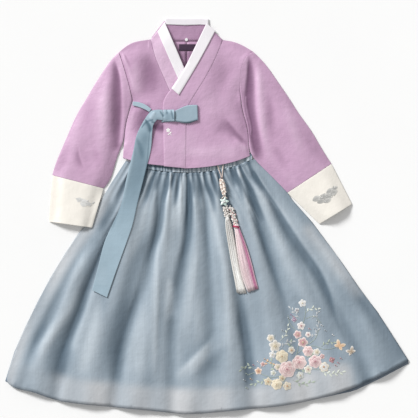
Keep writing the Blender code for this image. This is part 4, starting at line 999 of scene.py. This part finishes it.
onSkirt = surfaceOf(skirtFront, waistFront)
cordLine = [(22.8, 121), (27, 107), (32.2, 92), (33.6, 86), (35, 92), (36, 107), (37.5, 121)]
braidDyes = ((0.84, 0.75, 0.67), (0.70, 0.52, 0.44), (0.90, 0.85, 0.79))
braidPearls = ((39.5, 67.5, 2.0), (31.8, 73.8, 1.9), (36.4, 58.2, 2.1), (43.4, 55.0, 1.8),
               (35.4, 80.0, 2.0), (38.0, 73.0, 1.6), (33.2, 63.6, 1.7), (40.6, 61.0, 1.5))
linkPearls = ((48.5, 17.5), (51.5, 19.5), (50.6, 14.6), (46.0, 23.5), (55.5, 16.8), (53.2, 22.5))


def makeCord():
    # two plies twisted round each other, down one leg, through the tie and up the other
    shape = bmesh.new()
    spine = along(cordLine, 90)
    for spot in spine:
        spot.z = max(onSkirt(spot.x, spot.y), onSkirt(spot.x + 1, spot.y)) + 1.5
    for ply in (0, math.pi):
        path = []
        for k, spot in enumerate(spine):
            turn = k * 0.75 + ply
            path.append(spot + Vector((math.cos(turn) * 0.55, 0, math.sin(turn) * 0.55)))
        dyed(shape, ringTube(shape, path, [0.8] * len(path), 6), (0.74, 0.62, 0.56))
    level = onSkirt(33.6, 87) + 2.6
    tie = [Vector((33.6 + dx, 87.5 - abs(dx) * 0.1, level)) for dx in (-3, -1.5, 0, 1.5, 3)]
    dyed(shape, ringTube(shape, tie, [1.0, 1.7, 1.9, 1.7, 1.0], 8), (0.20, 0.13, 0.12))
    cord = pieceFrom(outward(shape), "ornamentCord", cordThread)
    standFor(cord, "cream_cord", "norigae_cord")


def makeBraid():
    # a plait of three cords with little pearls on it
    shape = bmesh.new()
    spine = along([(33.5, 84), (36, 70), (39.2, 48)], 70)
    for spot in spine:
        spot.z = onSkirt(spot.x, spot.y)
    calm = sum(spot.z for spot in spine) / len(spine)
    for ply, dye in enumerate(braidDyes):
        path = []
        for k, spot in enumerate(spine):
            turn = k * 0.34 + ply * math.tau / 3
            wide = 5.4 * (0.5 + 0.5 * math.sin(math.pi * min(k / 60, 1)) ** 0.6)
            path.append(Vector((spot.x + math.sin(turn) * wide, spot.y - 0.25 * math.sin(turn) * wide,
                                0.5 * (spot.z + calm) + 4.0 + 1.5 * math.sin(2 * turn))))
        dyed(shape, ringTube(shape, path, [1.9] * len(path), 7), dye)
    for x, y, size in braidPearls:
        dyed(shape, bead(shape, (x, y, calm + 7.6), size), (0.88, 0.82, 0.76))
    braid = pieceFrom(outward(shape), "ornamentBraid", cordThread)
    standFor(braid, "cream_cord", "norigae_braid")
    shape = bmesh.new()
    for path in (
        [(40, 49, 8.6), (37, 43, 8.4), (33.6, 40, 8.2)], [(38, 49, 8.6), (43, 43, 8.6), (46.6, 40.4, 8.2)],
    ):
        spots = [Vector(spot) for spot in path]
        for spot in spots:
            spot.z = calm + 4.6
        dyed(shape, ringTube(shape, spots, [1.2] * 3, 7), (0.76, 0.66, 0.58))
    crossing = pieceFrom(outward(shape), "ornamentCrossing", cordThread)
    standFor(crossing, "cream_cord")


def makeStar():
    # a five-pointed bead with raised ridges and a rounded back
    middle = Vector((39.6, 32.6, 0))
    low = max(onSkirt(middle.x + dx, middle.y + dy) for dx in (-6, 0, 6) for dy in (-6, 0, 6)) + 0.5
    shape = bmesh.new()
    rims = []
    for size, high in ((0.86, 0.0), (1.0, 1.3), (0.9, 2.6), (0.55, 3.7)):
        ring = []
        for k in range(30):
            turn = math.tau * k / 30
            wave = (1 + math.cos(5 * turn)) / 2
            radius = (6.6 + 5.9 * wave**1.6) * size
            lift = 0.5 * wave if high > 2 else 0.0
            ring.append(shape.verts.new(Vector((middle.x + radius * math.sin(turn + 0.2),
                                                middle.y + radius * math.cos(turn + 0.2),
                                                low + high + lift)) * mm))
        rims.append(ring)
    for upper, lower in zip(rims, rims[1:]):
        for k in range(30):
            following = (k + 1) % 30
            shape.faces.new((upper[k], upper[following], lower[following], lower[k]))
    shape.faces.new(rims[0])
    top = shape.verts.new(Vector((middle.x, middle.y, low + 3.9)) * mm)
    for k in range(30):
        shape.faces.new((rims[-1][k], rims[-1][(k + 1) % 30], top))
    star = smoothed(pieceFrom(outward(shape), "ornamentStar", jade))
    shape = bmesh.new()
    bead(shape, (middle.x, middle.y, low + 4.4), 2.3, 0.7, 2)
    for k in range(8):
        turn = math.tau * k / 8
        bead(shape, (middle.x + 3.1 * math.cos(turn), middle.y + 3.1 * math.sin(turn), low + 4.1), 0.75)
    stud = pieceFrom(outward(shape), "ornamentStarBeads", silver)
    standFor(stud, "silver_bead")
    standFor(star, "jade", "norigae_star")


def makeCaps():
    # clusters of small beads over a core, where each tassel starts
    for nodeName, name, top, bottom, width, kinds in (
        ("norigae_cap_cream", "capCream", (42.0, 21.0), (46.3, -1.0), 7.2, 0),
        ("norigae_cap_pink", "capPink", (54.5, 20.0), (66.5, -20.5), 6.6, 1),
    ):
        spine = along([top, bottom], 12)
        low = max(onSkirt(spot.x, spot.y) for spot in spine)
        for spot in spine:
            spot.z = 0.6 * low + 0.4 * onSkirt(spot.x, spot.y) + 3.6
        shape = bmesh.new()
        radii = [width * (0.62 + 0.14 * math.sin(k * 1.9)) for k in range(12)]
        ringTube(shape, spine, radii, 12, 0.6)
        core = pieceFrom(outward(shape), name, capCore)
        standFor(core, "silver_bead" if kinds == 0 else "jade", nodeName)
        dice = random.Random(31 + kinds)
        pearls, stones = bmesh.new(), bmesh.new()
        for k in range(0, 11, 2 if kinds == 0 else 1):
            spot = spine[k].lerp(spine[k + 1], 0.5)
            for j in range(4):
                turn = math.pi * (j + 0.5 * (k // 2 % 2) + 0.25) / 4
                reach = width * (0.74 + 0.16 * math.sin(k * 1.9))
                place = spot + Vector((math.cos(turn) * reach, 0.8 * dice.uniform(-1, 1),
                                       math.sin(turn) * reach * 0.7))
                bead(pearls if (j + k) % 4 or kinds == 0 else stones, place, dice.uniform(1.5, 2.3), 1.0, 2)
        beads = pieceFrom(outward(pearls), f"{name}Pearls", pearl)
        standFor(beads, "silver_bead")
        if kinds:
            beads = pieceFrom(outward(stones), f"{name}Stones", pinkStone)
            standFor(beads, "jade")
        else:
            stones.free()
    shape = bmesh.new()
    for x, y in linkPearls:
        bead(shape, (x, y, onSkirt(x, y) + 4.4), 1.8)
    link = pieceFrom(outward(shape), "capLinkPearls", pearl)
    standFor(link, "silver_bead")


tassels = {
    # left and right edges from the head down, strands, dyes from left to right
    "tasselCream": {
        "node": "tassel_cream", "slot": "cream_silk", "seed": 5, "strands": 112,
        "left": [(42.4, -2.3), (42.4, -28.8), (54.2, -98), (63.4, -144.2), (68.9, -178.3)],
        "right": [(50.8, -2.3), (57.2, -18), (63.4, -50.6), (70, -92), (77.2, -130), (91, -178.3)],
        "dyes": [(0.72, 0.70, 0.66), (0.92, 0.91, 0.88), (0.90, 0.89, 0.86), (0.70, 0.66, 0.62)],
    },
    "tasselPink": {
        "node": "tassel_pink", "slot": "pink_silk", "seed": 8, "strands": 128,
        "left": [(61, -22.5), (66, -62), (73, -103), (81.6, -143), (94.6, -176)],
        "right": [(73, -20.5), (87.4, -58), (100, -98.9), (109.3, -135.7), (117.8, -167.4)],
        "dyes": [(0.78, 0.68, 0.68), (0.84, 0.70, 0.71), (0.84, 0.66, 0.69), (0.84, 0.66, 0.70),
                 (0.78, 0.54, 0.62), (0.56, 0.16, 0.34), (0.82, 0.58, 0.66)],
    },
}


def makeTassel(name, look):
    # silk strands that grow out of a wrapped head and fan out over the skirt
    dice = random.Random(look["seed"])
    left, right = along(look["left"], 15), along(look["right"], 15)
    bed = []
    for k in range(15):
        bed.append([onSkirt(*left[k].lerp(right[k], share).xy) for share in (0.1, 0.3, 0.5, 0.7, 0.9)])
    for _ in range(3):
        for k in range(1, 14):
            bed[k] = [max(here, (a + b) / 2) for here, a, b in zip(bed[k], bed[k - 1], bed[k + 1])]
    shape = bmesh.new()
    for n in range(look["strands"]):
        share = (n * 0.618034) % 1
        layer = (n * 0.754878) % 1
        waver, phase = dice.uniform(0.1, 0.5), dice.uniform(0, 6)
        short = dice.uniform(0, 0.035)
        path = []
        for k in range(15):
            down = k / 14
            spread = share + (0.5 - share) * 0.25 * (1 - down) ** 3
            reach = min(k, 14 - short * 14 * (k == 14))
            j = min(int(reach), 13)
            a = left[j].lerp(left[j + 1], reach - j)
            b = right[j].lerp(right[j + 1], reach - j)
            spot = a.lerp(b, spread)
            i = min(max(spread * 5 - 0.5, 0), 4)
            ground = bed[k][int(i)] * (1 - i % 1) + bed[k][min(int(i) + 1, 4)] * (i % 1)
            thick = (6.2 - 2.6 * down) * (0.62 + 0.38 * math.sin(math.pi * spread))
            spot.z = ground + 0.6 + thick * layer
            spot.x += waver * math.sin(phase + down * 9)
            path.append(spot)
        radii = [0.62 + 0.22 * math.sin(math.pi * k / 14) for k in range(15)]
        faces = ringTube(shape, path, radii, 4, 1.0, math.pi / 4)
        place = share * (len(look["dyes"]) - 1)
        i = min(int(place), len(look["dyes"]) - 2)
        dye = np.array(look["dyes"][i]) * (1 - place + i) + np.array(look["dyes"][i + 1]) * (place - i)
        dyed(shape, faces, tuple(np.clip(dye * dice.uniform(0.88, 1.08), 0, 0.95)))
    middle = [left[k].lerp(right[k], 0.5) for k in (0, 1)]
    for spot in middle:
        spot.z = max(bed[0]) + 3.6
    head = [middle[0].lerp(middle[1], share) for share in (-0.35, -0.15, 0.1, 0.4, 0.7)]
    wide = (right[0] - left[0]).length / 2
    dyed(shape, ringTube(shape, head, [wide * 0.55, wide * 0.95, wide, wide * 0.95, wide * 0.7], 12, 0.62),
         look["dyes"][1])
    piece = pieceFrom(outward(shape), name, tasselThread)
    standFor(piece, look["slot"], look["node"])


def makeWrap():
    # red thread wound round the pink tassel's head
    shape = bmesh.new()
    low = max(onSkirt(x, y) for x in (61, 67, 73) for y in (-27, -21))
    for turn in range(3):
        path = []
        for k in range(13):
            angle = math.pi * k / 12
            path.append(Vector((67.2 - 7.0 * math.cos(angle), -23.2 - turn * 1.3 + 1.2 * math.cos(angle),
                                low + 0.8 + 7.6 * math.sin(angle))))
        dyed(shape, ringTube(shape, path, [0.75] * 13, 6), (0.46, 0.03, 0.10))
    wrap = pieceFrom(outward(shape), "redWrap", cordThread)
    standFor(wrap, "pink_silk")


makeCord()
makeBraid()
makeStar()
makeCaps()
for name, look in tassels.items():
    makeTassel(name, look)
makeWrap()
print("ornament made")


# embroidery: petals, leaves and stems of satin stitch, laid on the finished cloth

def stitchPetal(shape, height, centre, angle, length, width, inner, outer, lift=0.35, dome=0.5, tip=0.5):
    # a petal or leaf of a few domed faces, from its root at the centre outwards
    layer = shape.verts.layers.float_color.get("dye") or shape.verts.layers.float_color.new("dye")
    ahead = Vector((math.cos(angle), math.sin(angle)))
    across = Vector((-ahead.y, ahead.x))
    outline = (0.22, 0.72, 0.97, 1.0, 0.80, 0.28) if tip > 0.55 else (0.12, 0.62, 0.95, 0.86, 0.5, 0.04)
    rows = []
    for i in range(6):
        t = i / 5
        half = width / 2 * outline[i]
        row = []
        for j in range(5):
            s = j / 2 - 1
            spot = Vector(centre) + ahead * length * t + across * half * s
            bulge = dome * (1 - s * s) * math.sin(math.pi * (0.12 + 0.8 * t))
            place = Vector((spot.x, spot.y, height(*spot) + lift + bulge)) * mm
            point = shape.verts.new(place)
            shade = (1.03 if j % 2 else 0.97) * (1 + 0.06 * math.sin(7 * angle + centre[0]))
            rim = min(1, 0.25 * t + 0.8 * s * s * (0.4 + 0.6 * t) + 0.9 * max(0, t - 0.7) / 0.3)
            tone = [(a + (b - a) * rim) * shade for a, b in zip(inner, outer)]
            point[layer] = (*tone, 1)
            row.append(point)
        rows.append(row)
    for a, b in zip(rows, rows[1:]):
        for j in range(4):
            shape.faces.new((a[j], b[j], b[j + 1], a[j + 1]))


def stitchKnot(shape, height, x, y, size, dye, lift=0.9):
    dyed(shape, bead(shape, (x, y, height(x, y) + lift), size, 0.6), dye)


def stitchStem(shape, height, line, wide, dye):
    spots = along(line, max(6, int(len(line) * 7)))
    for spot in spots:
        spot.z = height(spot.x, spot.y) + 0.35
    radii = [wide * (0.75 + 0.25 * math.sin(math.pi * k / (len(spots) - 1))) for k in range(len(spots))]
    dyed(shape, ringTube(shape, spots, radii, 5, 0.6), dye)


threads = {
    "pale pink": (0.86, 0.76, 0.72), "rose": (0.61, 0.35, 0.36), "deep rose": (0.52, 0.26, 0.30),
    "cream": (0.80, 0.72, 0.58), "white": (0.84, 0.83, 0.81), "yellow": (0.72, 0.63, 0.45),
    "orange": (0.67, 0.42, 0.25), "sage": (0.40, 0.46, 0.38), "pale sage": (0.66, 0.70, 0.62),
    "grey": (0.50, 0.52, 0.53), "purple": (0.38, 0.22, 0.36), "brown": (0.40, 0.30, 0.20),
    "silver": (0.38, 0.38, 0.365), "silver pale": (0.64, 0.63, 0.60),
}


def stitchRose(shape, height, x, y, size, hue, rim, turn=0.0):
    # rings of broad overlapping petals with pale rims, round a coiled heart
    rings = ((6, 1.0, 0.95, 0.35), (5, 0.72, 0.8, 1.0), (4, 0.46, 0.62, 1.7), (3, 0.26, 0.4, 2.2))
    for petals, reach, wide, lift in rings:
        for k in range(petals):
            angle = turn + math.tau * k / petals + reach * 2
            root = (x + math.cos(angle) * size * reach * 0.15, y + math.sin(angle) * size * reach * 0.15)
            inner = tuple(c * (0.8 + 0.2 * reach) for c in threads[hue])
            stitchPetal(shape, height, root, angle, size * reach * 0.85, size * wide, inner, threads[rim],
                        lift + 0.3 * (k % 2), 0.9, 0.8)
    stitchKnot(shape, height, x, y, size * 0.09, threads["deep rose" if hue != "yellow" else "orange"], 2.8)


def stitchBloom(shape, height, x, y, size, hue, rim, heart, petals=5, turn=0.0):
    # two rings of petals round a few knots
    inner = tuple(c * 0.72 for c in threads[hue])
    for k in range(petals):
        angle = turn + math.tau * k / petals
        long = size * (1 + 0.1 * math.sin(5 * angle))
        stitchPetal(shape, height, (x, y), angle, long, size * 0.92, inner, threads[rim],
                    0.4 + 0.2 * (k % 2), 0.6, 0.75)
    for k in range(petals):
        angle = turn + math.tau * (k + 0.5) / petals
        stitchPetal(shape, height, (x, y), angle, size * 0.56, size * 0.45, inner, threads[hue],
                    1.0, 0.4, 0.6)
    for k in range(4):
        angle = math.tau * k / 4 + turn
        stitchKnot(shape, height, x + math.cos(angle) * size * 0.14, y + math.sin(angle) * size * 0.14,
                   size * 0.11, threads[heart], 1.7)


def stitchSprig(shape, height, line, hue, leaf, count=6):
    stitchStem(shape, height, line, 0.42, threads[hue])
    spots = along(line, count + 2)
    for k in range(1, count + 2):
        ahead = spots[min(k + 1, count + 1)] - spots[k - 1]
        angle = math.atan2(ahead.y, ahead.x) + (0.75 if k % 2 else -0.75) * (k <= count)
        stitchPetal(shape, height, spots[k].xy, angle, leaf * 1.1, leaf * 0.5, threads[hue],
                    tuple(min(0.9, 1.25 * c) for c in threads[hue]), 0.35, 0.3)


def stitchButterfly(shape, height, x, y, size, hue, rim, turn):
    for side in (-1, 1):
        for bend, long, wide in ((0.75, 1.15, 0.62), (1.9, 0.8, 0.5)):
            stitchPetal(shape, height, (x, y), turn + side * bend, size * long, size * wide, threads[hue],
                        threads[rim], 0.5, 0.4, 0.6)
    stitchStem(shape, height, [(x - math.cos(turn) * size * 0.5, y - math.sin(turn) * size * 0.5),
                               (x + math.cos(turn) * size * 0.6, y + math.sin(turn) * size * 0.6)],
               0.6, threads["brown"])


spray = {
    "stems": [
        [(172, -390), (190, -350), (206, -316), (214, -270), (226, -222), (220, -196)],
        [(190, -352), (166, -334), (152, -306), (156, -272)],
        [(206, -316), (240, -298), (270, -306), (296, -302)],
        [(190, -360), (150, -370), (114, -360), (94, -366)], [(204, -334), (248, -352), (284, -348)],
        [(214, -270), (192, -250), (186, -228)], [(226, -236), (246, -230), (262, -246)],
        [(222, -300), (246, -284), (256, -262)],
    ],
    "roses": [
        (184, -352, 20.0, "rose", "pale pink", 0.2),
        (212, -336, 17.0, "rose", "pale pink", 1.0),
        (172, -322, 15.0, "yellow", "cream", 0.5),
        (248, -334, 15.5, "deep rose", "pale pink", 0.8),
        (160, -386, 13.0, "yellow", "cream", 1.4),
        (232, -310, 12.5, "rose", "pale pink", 0.1),
    ],
    "blooms": [
        (156, -298, 13.0, "cream", "white", "yellow", 5, 0.3),
        (146, -280, 10.0, "cream", "white", "yellow", 5, 0.9),
        (220, -290, 12.0, "rose", "pale pink", "yellow", 5, 0.0),
        (208, -272, 10.0, "rose", "pale pink", "yellow", 5, 0.7),
        (268, -346, 11.5, "white", "cream", "orange", 6, 0.2),
        (216, -252, 9.0, "pale pink", "white", "deep rose", 5, 0.2),
        (219, -200, 8.5, "white", "white", "yellow", 5, 0.5),
        (184, -390, 10.0, "cream", "cream", "orange", 5, 0.6),
        (140, -380, 9.0, "yellow", "cream", "orange", 5, 0.2),
        (252, -312, 8.5, "cream", "white", "yellow", 5, 0.0),
        (194, -308, 9.0, "cream", "white", "orange", 5, 1.1),
        (118, -356, 8.0, "orange", "pale pink", "deep rose", 5, 0.4),
        (214, -366, 9.0, "white", "pale sage", "yellow", 5, 0.7),
        (286, -330, 7.0, "deep rose", "rose", "yellow", 4, 0.4),
        (200, -238, 6.5, "purple", "grey", "white", 4, 0.1),
        (232, -352, 9.0, "cream", "white", "rose", 5, 0.3),
        (162, -346, 8.5, "cream", "pale pink", "yellow", 5, 0.8),
        (150, -318, 7.5, "white", "white", "yellow", 5, 0.2),
        (232, -272, 7.5, "pale pink", "white", "deep rose", 5, 0.9),
        (152, -360, 6.5, "pale sage", "white", "yellow", 5, 0.1),
        (172, -372, 8.0, "yellow", "cream", "orange", 5, 0.0),
        (206, -216, 5.5, "grey", "white", "purple", 4, 0.5),
        (128, -340, 5.5, "rose", "pale pink", "orange", 5, 0.3),
        (264, -322, 6.5, "rose", "pale pink", "white", 5, 0.6),
    ],
    "sprigs": [
        ([(108, -352), (94, -344), (80, -352)], "sage", 8.0, 4),
        ([(122, -350), (138, -334), (150, -338)], "orange", 7.0, 4),
        ([(150, -372), (126, -380), (106, -386)], "sage", 8.0, 5),
        ([(258, -356), (282, -362), (310, -358)], "pale sage", 9.0, 8),
        ([(170, -304), (182, -290), (196, -288)], "grey", 7.5, 4),
        ([(214, -236), (202, -222), (192, -212)], "grey", 7.0, 4),
        ([(226, -222), (240, -212), (254, -212)], "pale sage", 7.0, 4),
        ([(236, -282), (252, -266), (256, -248)], "grey", 7.0, 5),
        ([(196, -376), (218, -386), (240, -382)], "sage", 9.0, 5),
        ([(168, -286), (182, -270), (186, -254)], "pale sage", 7.0, 4),
        ([(226, -326), (236, -322), (246, -318)], "sage", 9.0, 3),
        ([(196, -318), (190, -304), (192, -292)], "sage", 9.0, 3),
        ([(160, -356), (150, -346), (148, -334)], "sage", 9.0, 3),
        ([(204, -356), (218, -352), (230, -358)], "sage", 9.0, 3),
        ([(262, -300), (276, -290), (290, -290)], "sage", 7.5, 4),
        ([(240, -236), (252, -226), (256, -216)], "grey", 6.0, 4),
    ],
    "knots": [
        (192, -226, "purple"), (198, -231, "deep rose"), (186, -234, "grey"), (252, -240, "grey"),
        (262, -250, "white"), (270, -262, "grey"), (288, -272, "white"), (100, -374, "orange"),
        (90, -362, "sage"), (132, -328, "orange"), (140, -332, "yellow"), (300, -336, "deep rose"),
        (294, -342, "rose"), (306, -326, "rose"), (116, -334, "pale pink"), (106, -342, "deep rose"),
        (84, -376, "grey"), (90, -394, "sage"), (246, -258, "grey"), (172, -262, "grey"),
        (234, -258, "rose"),
    ],
    "butterflies": [(303, -299, 14.0, "orange", "cream", 1.0), (332, -312, 12.0, "brown", "white", 2.2)],
}


def makeSpray(look):
    shape = bmesh.new()
    for line in look["stems"]:
        stitchStem(shape, onSkirt, line, 0.55, threads["sage"])
    for line, hue, leaf, count in look["sprigs"]:
        stitchSprig(shape, onSkirt, line, hue, leaf, count)
    for x, y, size, hue, rim, heart, petals, turn in look["blooms"]:
        stitchBloom(shape, onSkirt, x, y, size, hue, rim, heart, petals, turn)
    for x, y, size, hue, rim, turn in look["roses"]:
        stitchRose(shape, onSkirt, x, y, size, hue, rim, turn)
    for x, y, hue in look["knots"]:
        stitchKnot(shape, onSkirt, x, y, 1.5, threads[hue])
        stitchKnot(shape, onSkirt, x + 3.4, y - 2.2, 1.1, threads[hue])
    for butterfly in look["butterflies"]:
        stitchButterfly(shape, onSkirt, *butterfly)
    piece = pieceFrom(shape, "skirtEmbroidery", stitchThread)
    standFor(piece, "skirt_organza")


makeSpray(spray)

cuffMotifs = {
    "cuffLeft": {
        "clouds": [(251, 40, 19, 13), (262, 35, 20, 12), (268, 44, 21, 14), (280, 47, 22, 14),
                   (290, 54, 20, 13), (276, 36, 19, 11), (282, 58, 18, 11), (293, 64, 15, 8)],
        "sprig": [([(248, 34), (270, 42), (290, 62)], 8)],
        "knots": [(262, 46), (268, 52), (275, 45), (282, 50), (267, 38), (276, 57), (288, 58), (258, 38),
                  (284, 64), (291, 50), (272, 33), (279, 40), (264, 42), (286, 44), (272, 48), (294, 66)],
        "turn": 0.5, "pale": 0.0,
    },
    "cuffRight": {
        "clouds": [(-292, 37, 18, 10), (-282, 32, 20, 13), (-273, 28, 16, 9), (-284, 26, 15, 9)],
        "sprig": [([(-304, 42), (-286, 34), (-264, 28)], 6)],
        "knots": [(-286, 33), (-279, 29), (-292, 37)],
        "turn": -0.35, "pale": 0.24,
    },
}


def makeCuffMotifs():
    for name, look in cuffMotifs.items():
        height = surfaceOf(jacket[name])
        shape = bmesh.new()
        hue = tuple(c + look["pale"] for c in threads["silver"])
        rim = tuple(c + look["pale"] * 0.6 for c in threads["silver pale"])
        for x, y, long, wide in look["clouds"]:
            root = (x - math.cos(look["turn"]) * long / 2, y - math.sin(look["turn"]) * long / 2)
            stitchPetal(shape, height, root, look["turn"], long, wide, hue, rim, 0.3, 0.4, 0.7)
        for line, count in look["sprig"]:
            stitchStem(shape, height, line, 0.4, hue)
            for k, spot in enumerate(along(line, count + 1)[1:]):
                stitchPetal(shape, height, spot.xy, look["turn"] + (1.0 if k % 2 else -1.0), 8, 4, hue, rim,
                            0.3, 0.3)
        for k, (x, y) in enumerate(look["knots"]):
            stitchKnot(shape, height, x, y, 0.8, threads["white"], 0.9)
            if k % 3 == 0 and look["pale"] == 0:
                curl = []
                for t in range(8):
                    reach = (4.6 - 0.2 * k) * (1 - t / 9)
                    curl.append((x + reach * math.cos(k + t * 0.8), y + reach * math.sin(k + t * 0.8)))
                stitchStem(shape, lambda a, b: height(a, b) + 0.7, curl, 0.5, threads["white"])
        piece = pieceFrom(shape, f"{name}Embroidery", stitchThread)
        standFor(piece, "cream_cuff")


makeCuffMotifs()


def makeFrontMotif():
    # a small white stitched blossom under the ribbon, with a stem and two leaves
    height = surfaceOf(jacket["frontLeft"], jacket["frontRight"], jacket["overlapPanel"])
    shape = bmesh.new()
    white = threads["white"]
    stitchStem(shape, height, [(-89, 197), (-86, 190), (-80, 184)], 0.6, white)
    for k in range(5):
        angle = 0.3 + k * math.tau / 5
        stitchPetal(shape, height, (-89, 197), angle, 5.2, 3.8, white, white, 0.3, 0.3, 0.7)
    for angle in (0.8, 3.7):
        stitchPetal(shape, height, (-85.5, 189), angle, 6.0, 2.8, white, white, 0.3, 0.3)
    piece = pieceFrom(shape, "frontSprig", stitchThread)
    standFor(piece, "lilac_silk")


makeFrontMotif()
print("embroidery made")


def makeStitches():
    # rows of small stitches: under the waist casing and round the label
    shape = bmesh.new()
    spots = along([(-160, 104), (-100, 95), (-45, 92), (10, 96), (60, 105.5), (98, 122)], 150)
    for a, b in zip(spots[::2], spots[1::2]):
        path = [a, a.lerp(b, 0.5), b]
        for spot, extra in zip(path, (0.1, 0.45, 0.1)):
            spot.z = onSkirt(spot.x, spot.y) + extra
        dyed(shape, ringTube(shape, path, [0.2, 0.3, 0.2], 5), (0.16, 0.22, 0.27))
    rows = pieceFrom(outward(shape), "casingStitches", stitchThread)
    standFor(rows, "skirt_organza")
    shape = bmesh.new()
    low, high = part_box("neck_label")
    left, right = low[0] / mm + 1.2, high[0] / mm - 1.2
    bottom, top = low[1] / mm + 1.2, high[1] / mm - 1.2
    level = high[2] / mm
    corners = [(left, bottom), (right, bottom), (right, top), (left, top), (left, bottom)]
    for start, end in zip(corners, corners[1:]):
        a, b = Vector((*start, level)), Vector((*end, level))
        count = max(3, int((b - a).length / 1.9))
        for k in range(count):
            path = [a.lerp(b, (k + share) / count) for share in (0.15, 0.5, 0.8)]
            path[1].z += 0.2
            dyed(shape, ringTube(shape, path, [0.14, 0.2, 0.14], 5), (0.11, 0.08, 0.115))
    border = pieceFrom(outward(shape), "labelStitches", stitchThread)
    standFor(border, "dark_label")


makeStitches()
print("stitches made")


# the floor

def makeFloor():
    shape = bmesh.new()
    bmesh.ops.create_grid(shape, x_segments=8, y_segments=8, size=4)
    bmesh.ops.translate(shape, vec=(0, 0, -0.3 * mm), verts=shape.verts[:])
    floor = pieceFrom(shape, "paleFloor", floorPaint)


makeFloor()
